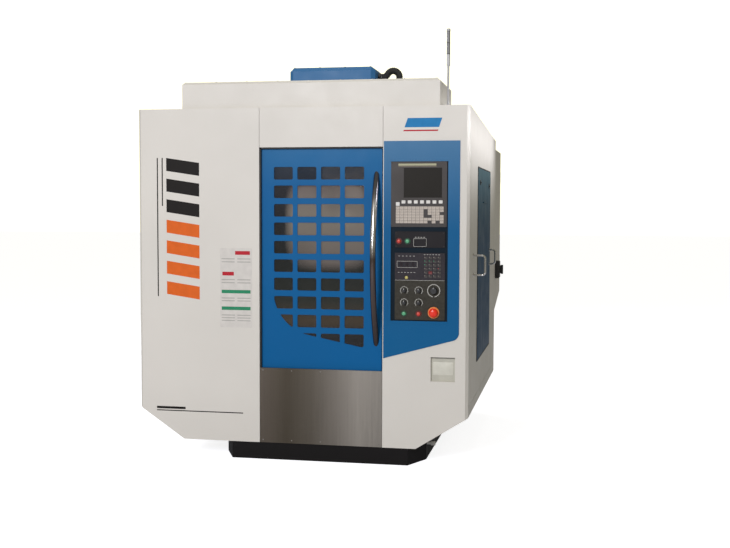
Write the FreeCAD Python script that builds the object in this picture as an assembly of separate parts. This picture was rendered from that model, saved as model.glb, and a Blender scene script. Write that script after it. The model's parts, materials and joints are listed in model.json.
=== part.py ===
import FreeCAD, Part
import os
from math import asin, cos, degrees, pi, radians, sin, sqrt

os.makedirs("parts", exist_ok=True)
Vec = FreeCAD.Vector

# A vertical machining centre in its sheet-metal enclosure. Millimetres, +X to the right,
# +Y to the back, +Z up. The origin is the floor point under the spindle axis.

# ---------------------------------------------------------------- driving dimensions
# enclosure
front_width = 1961.0          # across the front panels
axis_to_right = 858.0         # spindle axis to the right side
front_to_axis = 760.0         # front face to the spindle axis
enclosure_depth = 1930.0      # front face to the rear panel
front_height = 2050.0         # top of the front panels
roof_drop = 83.0              # the roof is this much lower at the rear
panel_bottom = 100.0          # lower edge of the panels
sheet = 3.0                   # panel sheet
panel_return = 18.0           # depth of the folded edges
corner_cut_left = 275.0       # width of the slanted lower left corner
corner_cut_right = 298.0      # width of the slanted lower right corner
corner_cut_height = 186.0     # height of both
edge_bevel = 16.0             # folded bevel of the front vertical edges
seam = 2.0                    # gap between neighbouring panels

# door
door_width = 725.0            # clear opening
door_sill = 540.0
header_height = 228.0         # panel above the door
door_setback = 22.0           # door face behind the front panels
door_depth = 38.0
door_sheet = 4.0
door_lap = 24.0               # door hidden behind header, kick plate and left panel
door_travel = 620.0
pane_thickness = 6.0
window_columns = 4
window_rows = 10
window_width = 113.0
window_height = 73.0
window_pitch_x = 140.0
window_corner = 9.0
window_left = -280.0          # left edge of the first column
window_drop = 112.0           # top edge of the first row below the door opening's top
window_rise = 134.0           # lower edge of the last row above the sill
handle_x = 325.0
handle_radius = 17.0
handle_bow = 112.0            # how far the handle stands off the door in its middle
handle_rise = 160.0           # handle's lower end above the sill
handle_drop = 158.0           # its upper end below the door opening's top
window_curve_rise = 276.0     # the cut-off lower left corner starts this far up
window_curve_middle = 132.0   # and passes this height
window_curve_foot = 62.0      # and ends at this one
pane_margin = 14.0
hanger_sheet = 4.0
hanger_half_width = 30.0
hanger_inset = 60.0           # hanger's middle from the door's edge
roller_radius = 18.0
roller_width = 10.0
roller_gap = 0.3
door_rail_height = 16.0

# control column and console
column_gap = 4.0              # dark joint between door opening and column
fascia_sheet = 4.0
fascia_margin = 54.0          # fascia's right edge inside the enclosure's
fascia_drop = 198.0           # its top below the top of the front panels
fascia_foot_left = 199.0      # its slanted lower edge below the console
fascia_foot_right = 80.0
fascia_corner = 46.0
console_inset = 28.5          # console right of the column panel's left edge
console_drop = 107.0          # console below the fascia's top
console_width = 343.0
console_height = 929.0
console_depth = 180.0
console_recess = 6.0          # console frame behind the fascia's face
unit_thickness = 14.0
# areas on the console: left, right, low, high from its lower left corner
screen_unit_area = (17.0, 336.0, 552.0, 920.0)
screen_glass_area = (91.0, 308.0, 717.0, 885.0)
switch_unit_area = (42.0, 328.0, 435.0, 526.0)
operator_unit_area = (42.0, 328.0, 25.0, 405.0)
button_radius = 11.0
button_travel = 3.0
button_gap = 0.3              # plunger to its hole
collar_radius = 14.0
knob_radius = 13.0
knob_height = 19.0
knob_shaft_radius = 4.0
dial_radius = 21.0
estop_radius = 20.0
estop_stem_radius = 9.0
estop_travel = 6.0
running_gap = 0.06            # shaft in a hole, on the radius
recess_margin = 215.0         # recess's left edge inside the enclosure's right side
recess_drop = 246.0           # its lower edge below the fascia's right end
recess_size = 142.0
recess_depth = 16.0
glass_thickness = 3.0
keypad_mat_area = (46.0, 319.0, 572.0, 668.0)
keypad_split = (0.52, 0.58)   # share of the keypad's width before and after its middle gap
softkey_inset = 90.0
softkey_pitch = 35.2
softkey_count = 7
softkey_width = 22.0
softkey_height = 18.5
softkey_rise = 693.0
key_height = 3.0
key_margin = 3.0
key_gap = 1.6
port_cover_area = (153.0, 217.0, 446.0, 482.0)
display_area = (55.0, 171.0, 322.0, 358.0)
display_rim = 5.0
mode_keys_area = (205.0, 309.0, 260.0, 390.0)
mode_key_gap = 2.4
# places on the console: across and up from its lower left corner
switch_buttons = {"power_off_button": (65.0, 471.0), "power_on_button": (114.0, 471.0)}
operator_buttons = {"cycle_start_button": (96.0, 60.0), "feed_hold_button": (179.5, 60.0)}
knobs = {"mode_knob": (96.0, 192.0), "feed_knob": (179.5, 192.0),
         "rapid_knob": (96.0, 123.0), "speed_knob": (179.5, 123.0)}
dial_spot = (265.0, 193.0)
estop_spot = (265.0, 68.0)
unit_corner = 4.0             # corner radius of the console units
glass_seat = 2.0              # glass behind the unit's face
mat_thickness = 2.0           # keypad's mat
dial_ring = 5.0               # width of the raised ring round the dial
dial_ring_gap = 4.0
collar_height = 4.0

# roof
hood_left = -836.0
hood_right = 685.0
hood_height = 155.0
hood_setback = 20.0
hood_depth = 560.0
hood_bevel = 14.0
cover_left = -340.0
cover_width = 544.0
cover_front = -160.0
cover_depth = 300.0
cover_rise = 304.0            # cover's top above the top of the front panels
cover_bevel = 24.0
conduit_radius = 22.0
conduit_drop = 54.0           # its way out of the cover, below the cover's top
conduit_reach = 24.0          # straight run out of the cover
conduit_bend = 40.0           # radius of its bends
conduit_lift = 60.0           # degrees that it climbs before it turns down
lamp_x = 719.0
lamp_setback = 120.0
lamp_rise = 441.0             # lamp's top above the top of the front panels
lamp_height = 210.0           # pale base, lens and cap
lamp_radius = 10.0
lamp_pole_radius = 6.5
lamp_base_height = 67.0
lamp_cap = 14.0
cover_margin = 30.0           # roof opening inside the motor cover
gland_height = 22.0
gland_lip = 8.0

# sides and rear
frame_bar = 40.0
side_cover_front = 510.0      # from the front face
side_cover_length = 920.0
side_cover_low = 548.0
side_cover_drop = 330.0       # cover's top below the top of the front panels
side_cover_sheet = 4.0
side_margin = 30.0            # service opening inside its cover
grip_radius = 6.0
front_grip = (250.0, 1086.0, 1200.0, 70.0)      # behind the front face, low, high, reach
rear_grip = (1350.0, 1100.0, 1196.0, 42.0)
cabinet_left = -700.0
cabinet_depth = 640.0
cabinet_low = 700.0
cabinet_drop = 140.0          # cabinet's top below the top of the front panels
cabinet_sheet = 4.0
cabinet_inset = 8.0           # cabinet side inside the enclosure side
cabinet_slant = 130.0         # rise of the cabinet's slanted lower edge
cabinet_leaf = 22.0           # thickness of the cabinet's door
hinge_pin_radius = 5.0
hinge_wall = 4.0
hinge_offset = 9.0
hinge_heights = (0.2, 0.8)
hinge_length = 70.0
hinge_lug = 14.0
switch_box_size = 129.0
switch_box_depth = 34.0
switch_box_width = 100.0
switch_setback = 190.0        # behind the rear panel
switch_z = 1022.0
switch_shaft = 8.0
switch_disc = 30.0

# work chamber
liner_setback = 110.0         # front wall behind the front face
liner_left_x = -900.0
liner_right_x = 700.0
liner_back_y = 600.0
liner_drop = 90.0             # liner's top below the top of the front panels
pan_outer_z = 520.0           # outer edge of the chip pans

# base and castings
plinth_height = 100.0
plinth_left = -532.0
plinth_right = 513.0
plinth_flank = 84.0           # the flanks stand this much wider
plinth_corner = 180.0         # length of the slanted front corners
anchor_radius = 11.0
anchor_edge = 50.0
plinth_wall = 60.0            # walls and ribs under the plinth, and half its top's thickness
plinth_rows = 3               # cored bays along the plinth, in two columns
bed_height = 520.0            # top of the bed's guide seats
bed_half_width = 430.0
bed_top_half_width = 240.0
bed_rear_gap = 170.0          # bed's and column's back in front of the rear face
bed_front = -600.0
casting_wall = 40.0
column_front = 480.0          # guide face of the column
column_half_width = 260.0
column_foot_half_width = 340.0
column_foot_height = 380.0
column_drop = 300.0           # column's top below the top of the front panels

bed_flank_height = 160.0      # upright flanks of the bed above the plinth
bed_shoulder_drop = 100.0     # the chip shoulders start this much below the guide seats
bed_bays = 3                  # cored bays along the bed
bed_core_height = 120.0       # cores beside the bed's middle

# guides and screws
rail_width = 34.0
rail_height = 28.0
rail_spread = 180.0           # rail centre from the axis, bed and column
table_rail_spread = 130.0
block_length = 90.0
block_width = 70.0
block_height = 40.0
block_gap = 0.08              # block to rail
screw_radius = 16.0
screw_gap = 0.3
screw_lift = 26.0             # ball screw centre above its seat
screw_sink = 20.0             # table screw's centre below the saddle's top
support_length = 40.0         # length of a bearing support
support_half_width = 60.0
block_base = 12.0             # a block's underside above the rail's seat
block_spread_x = 165.0        # table block centre from the table's middle
block_spread_y = 105.0        # saddle block centre from the saddle's middle
block_spread_z = 110.0        # head block centre from the carriage's middle
nut_half_width = 40.0
nut_half_length = 42.0
clear_gap = 4.0               # between machined parts that pass each other
motor_size = 104.0            # axis motors, across the flats
motor_length = 190.0
motor_share_x = 0.8           # size of the table's motor to the others

# table
table_length = 650.0
table_width = 420.0
table_thickness = 90.0
slot_count = 3
slot_pitch = 125.0
slot_neck = 18.0
slot_neck_depth = 18.0
slot_foot = 30.0
slot_foot_depth = 13.0
saddle_thickness = 90.0
saddle_overhang = 15.0        # saddle past the table's blocks at full travel
travel_x = 250.0
travel_y = 200.0
travel_z = 400.0
leaf_sheet = 3.0              # telescopic way cover
leaf_gap = 0.5                # between one leaf and the next
leaf_skirt = 50.0
leaf_height = 50.0            # underside of the lowest leaf above the saddle's underside

# head and spindle
head_top_gap = 5.0            # raised head below the column's top
nose_length = 140.0
nose_radius = 60.0
head_half_width = 140.0
head_front = -110.0
head_height = 255.0
head_chamfer = 60.0
carriage_thickness = 40.0
head_web = 100.0              # depth of the head's lower edge at the carriage
head_heel = 50.0              # head's underside behind the nose
carriage_lift = 35.0          # carriage plate's lower edge above the spindle nose
spindle_radius = 35.0
taper_radius = 22.2           # large end of the tool taper
taper_small_radius = 12.6
taper_length = 65.0
taper_gap = 0.05
flange_radius = 31.5
flange_thickness = 25.0
groove_radius = 26.0
groove_height = 10.0
chuck_radius = 25.0
chuck_length = 50.0
cutter_radius = 8.0
cutter_length = 60.0
spindle_motor_size = 184.0
spindle_motor_height = 400.0

# tool magazine
pocket_count = 12
pocket_radius = 200.0         # tool centre from the carousel's axis
carousel_radius = 158.0
carousel_thickness = 24.0
carousel_rest_x = -560.0
fork_gap = 0.5
fork_width = 30.0
beam_height = 110.0
beam_depth = 100.0
beam_drop = 210.0             # beam's underside below the column's top
beam_length = 603.0
beam_flange = 12.0
beam_flange_lap = 60.0        # flange above and below the beam
beam_wall = 8.0
beam_rail_half = 10.0         # half the width of a magazine rail
beam_rail_height = 20.0
hub_radius = 50.0
arm_side = 55.0               # arm's inner side from the carousel axis
arm_width = 75.0
arm_thickness = 36.0
arm_clearance = 6.0           # arm above the tapers
slide_width = 240.0           # plate on the beam's rails
slide_thickness = 24.0
slide_front = 40.0            # its face in front of the column's
drive_height = 90.0           # carousel drive, and the web beside it
slide_block = 60.0            # length of a magazine block
slide_block_spread = 160.0
axle_gap = 0.5
axle_radius = 18.0

# ---------------------------------------------------------------- derived planes
front = -front_to_axis
rear = front + enclosure_depth
right = axis_to_right
left = axis_to_right - front_width
bed_back = rear - bed_rear_gap
door_head = front_height - header_height
door_left = -door_width / 2
door_right = door_width / 2
column_left = door_right + column_gap
door_face = front + door_setback
door_back = door_face + door_depth
corner_top = panel_bottom + corner_cut_height
panel_back = front + panel_return
anchor_left_x = plinth_left - plinth_flank + anchor_edge
anchor_right_x = plinth_right + plinth_flank - anchor_edge
anchor_front_y = front + panel_return / 2 + plinth_corner + anchor_edge
anchor_back_y = rear - sheet - frame_bar - anchor_edge

window_top = door_head - window_drop
window_low = door_sill + window_rise
window_pitch_z = (window_top - window_height - window_low) / (window_rows - 1)
handle_low = door_sill + handle_rise
handle_high = door_head - handle_drop
fascia_right = right - fascia_margin
fascia_top = front_height - fascia_drop
console_left = column_left + console_inset
console_right = console_left + console_width
console_high = fascia_top - console_drop
console_low = console_high - console_height
fascia_low_left = console_low - fascia_foot_left
fascia_low_right = console_low - fascia_foot_right
recess_left = right - recess_margin
recess_low = fascia_low_right - recess_drop
cover_top = front_height + cover_rise
conduit_height = cover_top - conduit_drop
lamp_top = front_height + lamp_rise
lamp_pole_top = lamp_top - lamp_height
side_cover_high = front_height - side_cover_drop
cabinet_high = front_height - cabinet_drop
liner_top = front_height - liner_drop
column_top = front_height - column_drop
nose_height = column_top - head_top_gap - head_height - nose_length
beam_low = column_top - beam_drop

flank_top = plinth_height + bed_flank_height
rail_seat_drop = block_base + block_height        # rail's seat to the plate on its blocks
support_height = rail_seat_drop - clear_gap
reach_y = travel_y + block_spread_y + block_length        # half length of the bed's rails
saddle_low = bed_height + rail_seat_drop
saddle_high = saddle_low + saddle_thickness
saddle_half_length = travel_x + block_spread_x + block_length / 2 + saddle_overhang
saddle_half_width = table_rail_spread + block_width / 2 + 10
table_low = saddle_high + rail_seat_drop
table_high = table_low + table_thickness
screw_x_z = saddle_high - screw_sink
liner_front_y = front + liner_setback
leaf_length = -liner_front_y - saddle_half_width - travel_y - 5
leaf_half_width = bed_top_half_width + 12
leaf_low = saddle_low + leaf_height

carriage_low = nose_height + carriage_lift
carriage_high = nose_height + nose_length + head_height
carriage_back = column_front - rail_seat_drop
head_rail_low = carriage_low - travel_z - 10      # lower end of the head's rails
fork_z = nose_height - flange_thickness / 2       # height of the flange grooves
arm_low = nose_height + taper_length + arm_clearance
plate_right = carousel_rest_x - arm_side
beam_right = -column_half_width - beam_flange
beam_left = beam_right - beam_length
beam_front = column_front + 14
beam_rail_front = beam_front - beam_rail_height

unit_seat = front + sheet + 8
unit_face = unit_seat - unit_thickness
button_room = unit_thickness - 2                  # depth of a button's hole
jamb_x = column_left + 2 * sheet
roller_axle_z = door_head + door_lap + roller_radius + 8
conduit_y = cover_front + cover_depth / 2
conduit_x = (cover_left + cover_width + conduit_reach
             + conduit_bend * (1 + 2 * sin(radians(conduit_lift))))
cabinet_right = right - cabinet_inset
cabinet_back = rear + cabinet_depth
switch_y = rear + switch_setback


def area_on_console(area):
    """An area of the console in the part's own x and z."""
    x0, x1, z0, z1 = area
    return (console_left + x0, console_left + x1, console_low + z0, console_low + z1)


def spot_on_console(spot):
    """A place on the console in the part's own x and z."""
    return (console_left + spot[0], console_low + spot[1])


screen_unit = area_on_console(screen_unit_area)
screen_glass = area_on_console(screen_glass_area)
switch_unit = area_on_console(switch_unit_area)
operator_unit = area_on_console(operator_unit_area)
keypad_area = area_on_console(keypad_mat_area)
port_cover = area_on_console(port_cover_area)
display_frame = area_on_console(display_area)
mode_key_area = area_on_console(mode_keys_area)
dial_place = spot_on_console(dial_spot)
estop_place = spot_on_console(estop_spot)


def roof_z(y):
    """Height of the roof's underside at a distance y from the spindle axis."""
    return front_height - sheet - roof_drop * (y - front) / enclosure_depth


# ---------------------------------------------------------------- shape helpers
def box(x0, x1, y0, y1, z0, z1):
    """A block between two corners."""
    return Part.makeBox(x1 - x0, y1 - y0, z1 - z0, Vec(x0, y0, z0))


def face_of(points):
    """A flat face through points, closed by its last edge."""
    return Part.Face(Part.makePolygon(points + [points[0]]))


def prism_x(yz, x0, x1):
    """A profile of (y, z) points carried along X."""
    return face_of([Vec(x0, y, z) for y, z in yz]).extrude(Vec(x1 - x0, 0, 0))


def prism_y(xz, y0, y1):
    """A profile of (x, z) points carried along Y."""
    return face_of([Vec(x, y0, z) for x, z in xz]).extrude(Vec(0, y1 - y0, 0))


def prism_z(xy, z0, z1):
    """A profile of (x, y) points carried along Z."""
    return face_of([Vec(x, y, z0) for x, y in xy]).extrude(Vec(0, 0, z1 - z0))


def rod(radius, start, direction, length):
    """A round bar from a start point."""
    return Part.makeCylinder(radius, length, start, direction)


def turned(profile, centre):
    """A profile of (radius, z) points turned about the vertical line through centre."""
    points = [Vec(centre.x + r, centre.y, centre.z + z) for r, z in profile]
    return face_of(points).revolve(centre, Vec(0, 0, 1), 360)


def turned_y(profile, centre):
    """A profile of (radius, y) points turned about the line along Y through centre."""
    points = [Vec(centre.x + r, centre.y + y, centre.z) for r, y in profile]
    return face_of(points).revolve(centre, Vec(0, 1, 0), 360)


def rounded_slab(x0, x1, z0, z1, radius, y0, y1):
    """A rounded rectangle in the XZ plane carried along Y."""
    slab = box(x0, x1, y0, y1, z0, z1)
    upright = [e for e in slab.Edges if abs(e.tangentAt(e.FirstParameter).y) > 0.9]
    return slab.makeFillet(radius, upright)


def fused(shapes):
    """One solid from shapes that meet."""
    return shapes[0].multiFuse(shapes[1:]).removeSplitter()


def group(shapes):
    """Separate solids kept together."""
    return Part.makeCompound([s for shape in shapes for s in shape.Solids])


def pan_y(xz, y0, depth, wall, bevel_x=None, bevel=0.0):
    """A folded sheet panel in the XZ plane: a face and returns, open at the back.
    Its vertical front edge at bevel_x is folded at an angle."""
    outer = prism_y(xz, y0, y0 + depth)
    if bevel_x is not None:
        edges = [e for e in outer.Edges
                 if all(abs(v.X - bevel_x) < 0.01 and abs(v.Y - y0) < 0.01 for v in e.Vertexes)]
        outer = outer.makeChamfer(bevel, edges)
    back = [f for f in outer.Faces
            if all(abs(v.Y - y0 - depth) < 0.01 for v in f.Vertexes)]
    return outer.makeThickness(back, -wall, 0.001)


def tube_bar(x0, x1, y0, y1, z0, z1, wall):
    """A square tube, open at both ends of its longest side."""
    sides = {"x": x1 - x0, "y": y1 - y0, "z": z1 - z0}
    along = max(sides, key=sides.get)
    dx, dy, dz = [0.0 if along == axis else wall for axis in "xyz"]
    return box(x0, x1, y0, y1, z0, z1).cut(
        box(x0 + dx, x1 - dx, y0 + dy, y1 - dy, z0 + dz, z1 - dz))


nodes = {}


# ---------------------------------------------------------------- base and castings
def base_plinth():
    """The black base: a slab with slanted front corners and four anchor holes."""
    y0 = front + panel_return / 2
    y1 = rear - sheet
    outline = [(plinth_left, y0), (plinth_right, y0),
               (plinth_right + plinth_flank, y0 + plinth_corner),
               (plinth_right + plinth_flank, y1),
               (plinth_left - plinth_flank, y1),
               (plinth_left - plinth_flank, y0 + plinth_corner)]
    slab = prism_z(outline, 0, plinth_height)
    for x in (anchor_left_x, anchor_right_x):
        for y in (anchor_front_y, anchor_back_y):
            slab = slab.cut(rod(anchor_radius, Vec(x, y, 0), Vec(0, 0, 1), plinth_height))
    for core in plinth_cores():
        slab = slab.cut(box(*core, 0, plinth_height - plinth_wall / 2))
    return slab


def plinth_cores():
    """The cored bays under the plinth, in two columns: x and y limits of each."""
    y0 = anchor_front_y + anchor_edge
    y1 = anchor_back_y - anchor_edge
    pitch = (y1 - y0 + plinth_wall) / plinth_rows
    half = plinth_wall / 2
    return [(x0, x1, y0 + i * pitch, y0 + (i + 1) * pitch - plinth_wall)
            for x0, x1 in ((anchor_left_x + anchor_edge, -half), (half, anchor_right_x - anchor_edge))
            for i in range(plinth_rows)]


def bed_casting():
    """The cast bed: guide seats on top, sloped chip shoulders, cored from below."""
    shoulder = bed_height - bed_shoulder_drop
    profile = [(-bed_half_width, plinth_height), (bed_half_width, plinth_height),
               (bed_half_width, flank_top), (bed_top_half_width, shoulder),
               (bed_top_half_width, bed_height), (-bed_top_half_width, bed_height),
               (-bed_top_half_width, shoulder), (-bed_half_width, flank_top)]
    body = prism_y(profile, bed_front, bed_back)
    foot = box(-column_foot_half_width, column_foot_half_width, column_front, bed_back,
               flank_top, bed_height)
    body = fused([body, foot])
    core_top = bed_height - casting_wall
    pitch = (bed_back - bed_front - casting_wall) / bed_bays
    for i in range(bed_bays):
        y0 = bed_front + casting_wall + i * pitch
        y1 = y0 + pitch - casting_wall
        for side in (-1, 1):
            x0, x1 = sorted((side * casting_wall / 2, side * (bed_top_half_width - casting_wall)))
            body = body.cut(box(x0, x1, y0, y1, plinth_height, core_top))
            x0, x1 = sorted((side * bed_top_half_width, side * (bed_half_width - casting_wall)))
            body = body.cut(box(x0, x1, y0, y1, plinth_height,
                                plinth_height + bed_core_height))
    half = motor_size / 2 + clear_gap
    notch = box(-half, half, bed_front - 1, -reach_y, bed_height + screw_lift - half,
                bed_height + 1)
    return fused([body.cut(notch)] + screw_supports_y())


def column_casting():
    """The cast column: a box on a flared foot, hollow on both sides of a middle rib."""
    foot = bed_height + column_foot_height
    outline = [(-column_foot_half_width, bed_height), (column_foot_half_width, bed_height),
               (column_half_width, foot), (column_half_width, column_top),
               (-column_half_width, column_top), (-column_half_width, foot)]
    w = casting_wall
    core = [(-column_half_width + w, bed_height), (column_half_width - w, bed_height),
            (column_half_width - w, column_top - w), (-column_half_width + w, column_top - w)]
    body = prism_y(outline, column_front, bed_back)
    cores = prism_y(core, column_front + w, bed_back - w)
    rib = box(-w / 2, w / 2, column_front, bed_back, bed_height, column_top)
    body = body.cut(cores.cut(rib))
    return fused([body] + screw_supports_z())


def bed_rails():
    """Two linear rails on the bed, for the saddle."""
    return [box(s * rail_spread - rail_width / 2, s * rail_spread + rail_width / 2,
                -reach_y, reach_y, bed_height, bed_height + rail_height) for s in (-1, 1)]


def screw_y():
    """The saddle's ball screw, between the bed rails."""
    start = Vec(0, -reach_y, bed_height + screw_lift)
    return rod(screw_radius, start, Vec(0, 1, 0), 2 * reach_y)


def screw_supports_y():
    """Bearing supports at both ends of the saddle's ball screw, seated on the bed."""
    bore = rod(screw_radius + running_gap, Vec(0, -reach_y, bed_height + screw_lift),
               Vec(0, 1, 0), 2 * reach_y)
    return [box(-support_half_width, support_half_width, y, y + support_length, bed_height,
                bed_height + support_height).cut(bore)
            for y in (-reach_y, reach_y - support_length)]


def axis_motor(flange):
    """An axis motor standing on z = 0: square body, round cap and a boxed plug."""
    body = box(-flange / 2, flange / 2, -flange / 2, flange / 2, 0, motor_length * 0.7)
    edges = [e for e in body.Edges if abs(e.tangentAt(e.FirstParameter).z) > 0.9]
    body = body.makeChamfer(flange * 0.1, edges)
    cap = rod(flange * 0.42, Vec(0, 0, motor_length * 0.7), Vec(0, 0, 1), motor_length * 0.3)
    plug = box(flange / 2, flange / 2 + 26, -20, 20, motor_length * 0.45, motor_length * 0.65)
    return fused([body, cap, plug])


def motor_y():
    """The saddle's motor, in front of the bed's front bearing support."""
    motor = axis_motor(motor_size)
    motor.rotate(Vec(0, 0, 0), Vec(1, 0, 0), 90)
    motor.translate(Vec(0, -reach_y, bed_height + screw_lift))
    return motor


# ---------------------------------------------------------------- saddle and table
def guide_block():
    """A block round a rail along Y, with the rail's seat at z = 0."""
    body = box(-block_width / 2, block_width / 2, -block_length / 2, block_length / 2,
               block_base, rail_seat_drop)
    g = block_gap
    return body.cut(box(-rail_width / 2 - g, rail_width / 2 + g, -block_length, block_length,
                        0, rail_height + g))


def saddle_casting():
    """The cross slide: a cored plate with a channel for the table's screw between two bored
    end walls, blocks for the bed rails, a screw nut and the last leaf of the way cover."""
    plate = box(-saddle_half_length, saddle_half_length, -saddle_half_width,
                saddle_half_width, saddle_low, saddle_high)
    channel_half = nut_half_width + clear_gap
    channel_length = saddle_half_length - support_length
    plate = plate.cut(box(-channel_length, channel_length, -channel_half, channel_half,
                          screw_x_z - screw_radius - 2 * clear_gap, saddle_high))
    plate = plate.cut(rod(screw_radius + running_gap, Vec(-saddle_half_length, 0, screw_x_z),
                          Vec(1, 0, 0), 2 * saddle_half_length))
    core_x0 = rail_spread + block_width / 2 + casting_wall
    core_y0 = channel_half + casting_wall / 2
    for sx in (-1, 1):
        for sy in (-1, 1):
            x0, x1 = sorted((sx * core_x0, sx * (saddle_half_length - casting_wall)))
            y0, y1 = sorted((sy * core_y0, sy * (saddle_half_width - casting_wall)))
            plate = plate.cut(box(x0, x1, y0, y1, saddle_low, saddle_high - casting_wall))
    blocks = []
    for sx in (-1, 1):
        for sy in (-1, 1):
            block = guide_block()
            block.translate(Vec(sx * rail_spread, sy * block_spread_y, bed_height))
            blocks.append(block)
    nut = box(-nut_half_width, nut_half_width, -nut_half_length, nut_half_length,
              bed_height + clear_gap, saddle_low)
    nut = nut.cut(rod(screw_radius + screw_gap,
                      Vec(0, -nut_half_length, bed_height + screw_lift), Vec(0, 1, 0),
                      2 * nut_half_length))
    return fused([plate, nut, cover_leaf_saddle()] + blocks + table_ways())


def table_ways():
    """The two ground ways on the saddle, for the table."""
    return [box(-saddle_half_length, saddle_half_length,
                s * table_rail_spread - rail_width / 2, s * table_rail_spread + rail_width / 2,
                saddle_high, saddle_high + rail_height) for s in (-1, 1)]


def screw_x():
    """The table's ball screw, sunk in the saddle between its bored end walls."""
    return rod(screw_radius, Vec(-saddle_half_length, 0, screw_x_z), Vec(1, 0, 0),
               2 * saddle_half_length)


def motor_x():
    """The table's motor, on the right end of the saddle."""
    motor = axis_motor(motor_size * motor_share_x)
    motor.rotate(Vec(0, 0, 0), Vec(0, 1, 0), 90)
    motor.translate(Vec(saddle_half_length, 0, screw_x_z))
    return motor


def t_slot():
    """The room of one T-slot along X, with the table's top at z = 0."""
    half = table_length / 2 + 1
    neck = box(-half, half, -slot_neck / 2, slot_neck / 2, -slot_neck_depth, 1)
    foot = box(-half, half, -slot_foot / 2, slot_foot / 2,
               -slot_neck_depth - slot_foot_depth, -slot_neck_depth)
    return neck.fuse(foot)


def work_table():
    """The table: a plate with T-slots and coolant gutters, on four guide blocks."""
    plate = box(-table_length / 2, table_length / 2, -table_width / 2, table_width / 2,
                table_low, table_high)
    for i in range(slot_count):
        slot = t_slot()
        slot.translate(Vec(0, (i - (slot_count - 1) / 2) * slot_pitch, table_high))
        plate = plate.cut(slot)
    blocks = []
    for sx in (-1, 1):
        for sy in (-1, 1):
            block = guide_block()
            block.rotate(Vec(0, 0, 0), Vec(0, 0, 1), 90)
            block.translate(Vec(sx * block_spread_x, sy * table_rail_spread, saddle_high))
            blocks.append(block)
    nut = box(-nut_half_length, nut_half_length, -nut_half_width, nut_half_width,
              screw_x_z - screw_radius - clear_gap, table_low)
    nut = nut.cut(rod(screw_radius + screw_gap, Vec(-nut_half_length, 0, screw_x_z),
                      Vec(1, 0, 0), 2 * nut_half_length))
    return fused([plate, nut] + blocks)


# ---------------------------------------------------------------- way covers
def cover_leaf(step, y0):
    """One leaf of the telescopic cover: a plate with side skirts, step leaves from the lowest."""
    rise = step * (leaf_sheet + leaf_gap)
    half = leaf_half_width + rise
    z1 = leaf_low + rise + leaf_sheet
    z0 = leaf_low + rise - leaf_skirt
    profile = [(-half - leaf_sheet, z0), (-half, z0), (-half, z1 - leaf_sheet),
               (half, z1 - leaf_sheet), (half, z0), (half + leaf_sheet, z0),
               (half + leaf_sheet, z1), (-half - leaf_sheet, z1)]
    return prism_y(profile, y0, y0 + leaf_length)


def cover_leaf_fixed():
    """The leaf on the front apron."""
    return cover_leaf(0, liner_front_y)


def cover_leaf_middle():
    """The middle leaf: it moves half as far as the saddle."""
    return cover_leaf(1, liner_front_y + 2.5 + travel_y / 2)


def cover_leaf_saddle():
    """The leaf on the saddle's front face."""
    return cover_leaf(2, -saddle_half_width - leaf_length)


# ---------------------------------------------------------------- head and spindle
def column_rails():
    """Two linear rails on the column, for the head."""
    return [box(s * rail_spread - rail_width / 2, s * rail_spread + rail_width / 2,
                column_front - rail_height, column_front, head_rail_low, column_top)
            for s in (-1, 1)]


def head_casting():
    """The spindle head: an arm from the carriage plate, with the spindle's nose below."""
    arm_low = nose_height + nose_length
    arm = [(head_front, arm_low), (head_front, carriage_high - head_chamfer),
           (head_front + head_chamfer, carriage_high), (carriage_back, carriage_high),
           (carriage_back, carriage_low), (carriage_back - head_web, carriage_low),
           (nose_radius + head_heel, arm_low)]
    body = prism_x(arm, -head_half_width, head_half_width)
    plate = box(-rail_spread - block_width / 2, rail_spread + block_width / 2,
                carriage_back - carriage_thickness, carriage_back, carriage_low, carriage_high)
    nose = turned([(0, 0), (nose_radius - 6, 0), (nose_radius, 6), (nose_radius, nose_length),
                   (0, nose_length)], Vec(0, 0, nose_height))
    blocks = []
    middle = (carriage_low + carriage_high) / 2
    for sx in (-1, 1):
        for sz in (-1, 1):
            block = guide_block()
            block.rotate(Vec(0, 0, 0), Vec(1, 0, 0), 90)
            block.translate(Vec(sx * rail_spread, column_front, middle + sz * block_spread_z))
            blocks.append(block)
    nut_y = column_front - screw_lift
    nut = box(-nut_half_width, nut_half_width, carriage_back, column_front - clear_gap,
              middle - nut_half_length, middle + nut_half_length)
    nut = nut.cut(rod(screw_radius + screw_gap, Vec(0, nut_y, middle - nut_half_length),
                      Vec(0, 0, 1), 2 * nut_half_length))
    body = fused([body, plate, nose, nut] + blocks)
    bore = rod(spindle_radius + running_gap, Vec(0, 0, nose_height - 1), Vec(0, 0, 1),
               carriage_high - nose_height + 2)
    return body.cut(bore)


def screw_z():
    """The head's ball screw, in front of the column."""
    return rod(screw_radius, Vec(0, column_front - screw_lift, head_rail_low), Vec(0, 0, 1),
               column_top + support_length - head_rail_low)


def screw_supports_z():
    """Bearing supports of the head's ball screw: one on the column, one on its top."""
    low = box(-support_half_width, support_half_width, column_front - support_height,
              column_front, head_rail_low, head_rail_low + support_length)
    y_screw = column_front - screw_lift
    half = motor_size / 2 + 2 * clear_gap
    top = box(-half, half, y_screw - half, column_front + 2 * half, column_top,
              column_top + support_length)
    bore = rod(screw_radius + running_gap, Vec(0, y_screw, head_rail_low), Vec(0, 0, 1),
               column_top + support_length - head_rail_low)
    return [low.cut(bore), top.cut(bore)]


def motor_z():
    """The head's motor, on the upper bearing support."""
    motor = axis_motor(motor_size)
    motor.rotate(Vec(0, 0, 0), Vec(0, 0, 1), 90)
    motor.translate(Vec(0, column_front - screw_lift, column_top + support_length))
    return motor


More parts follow.
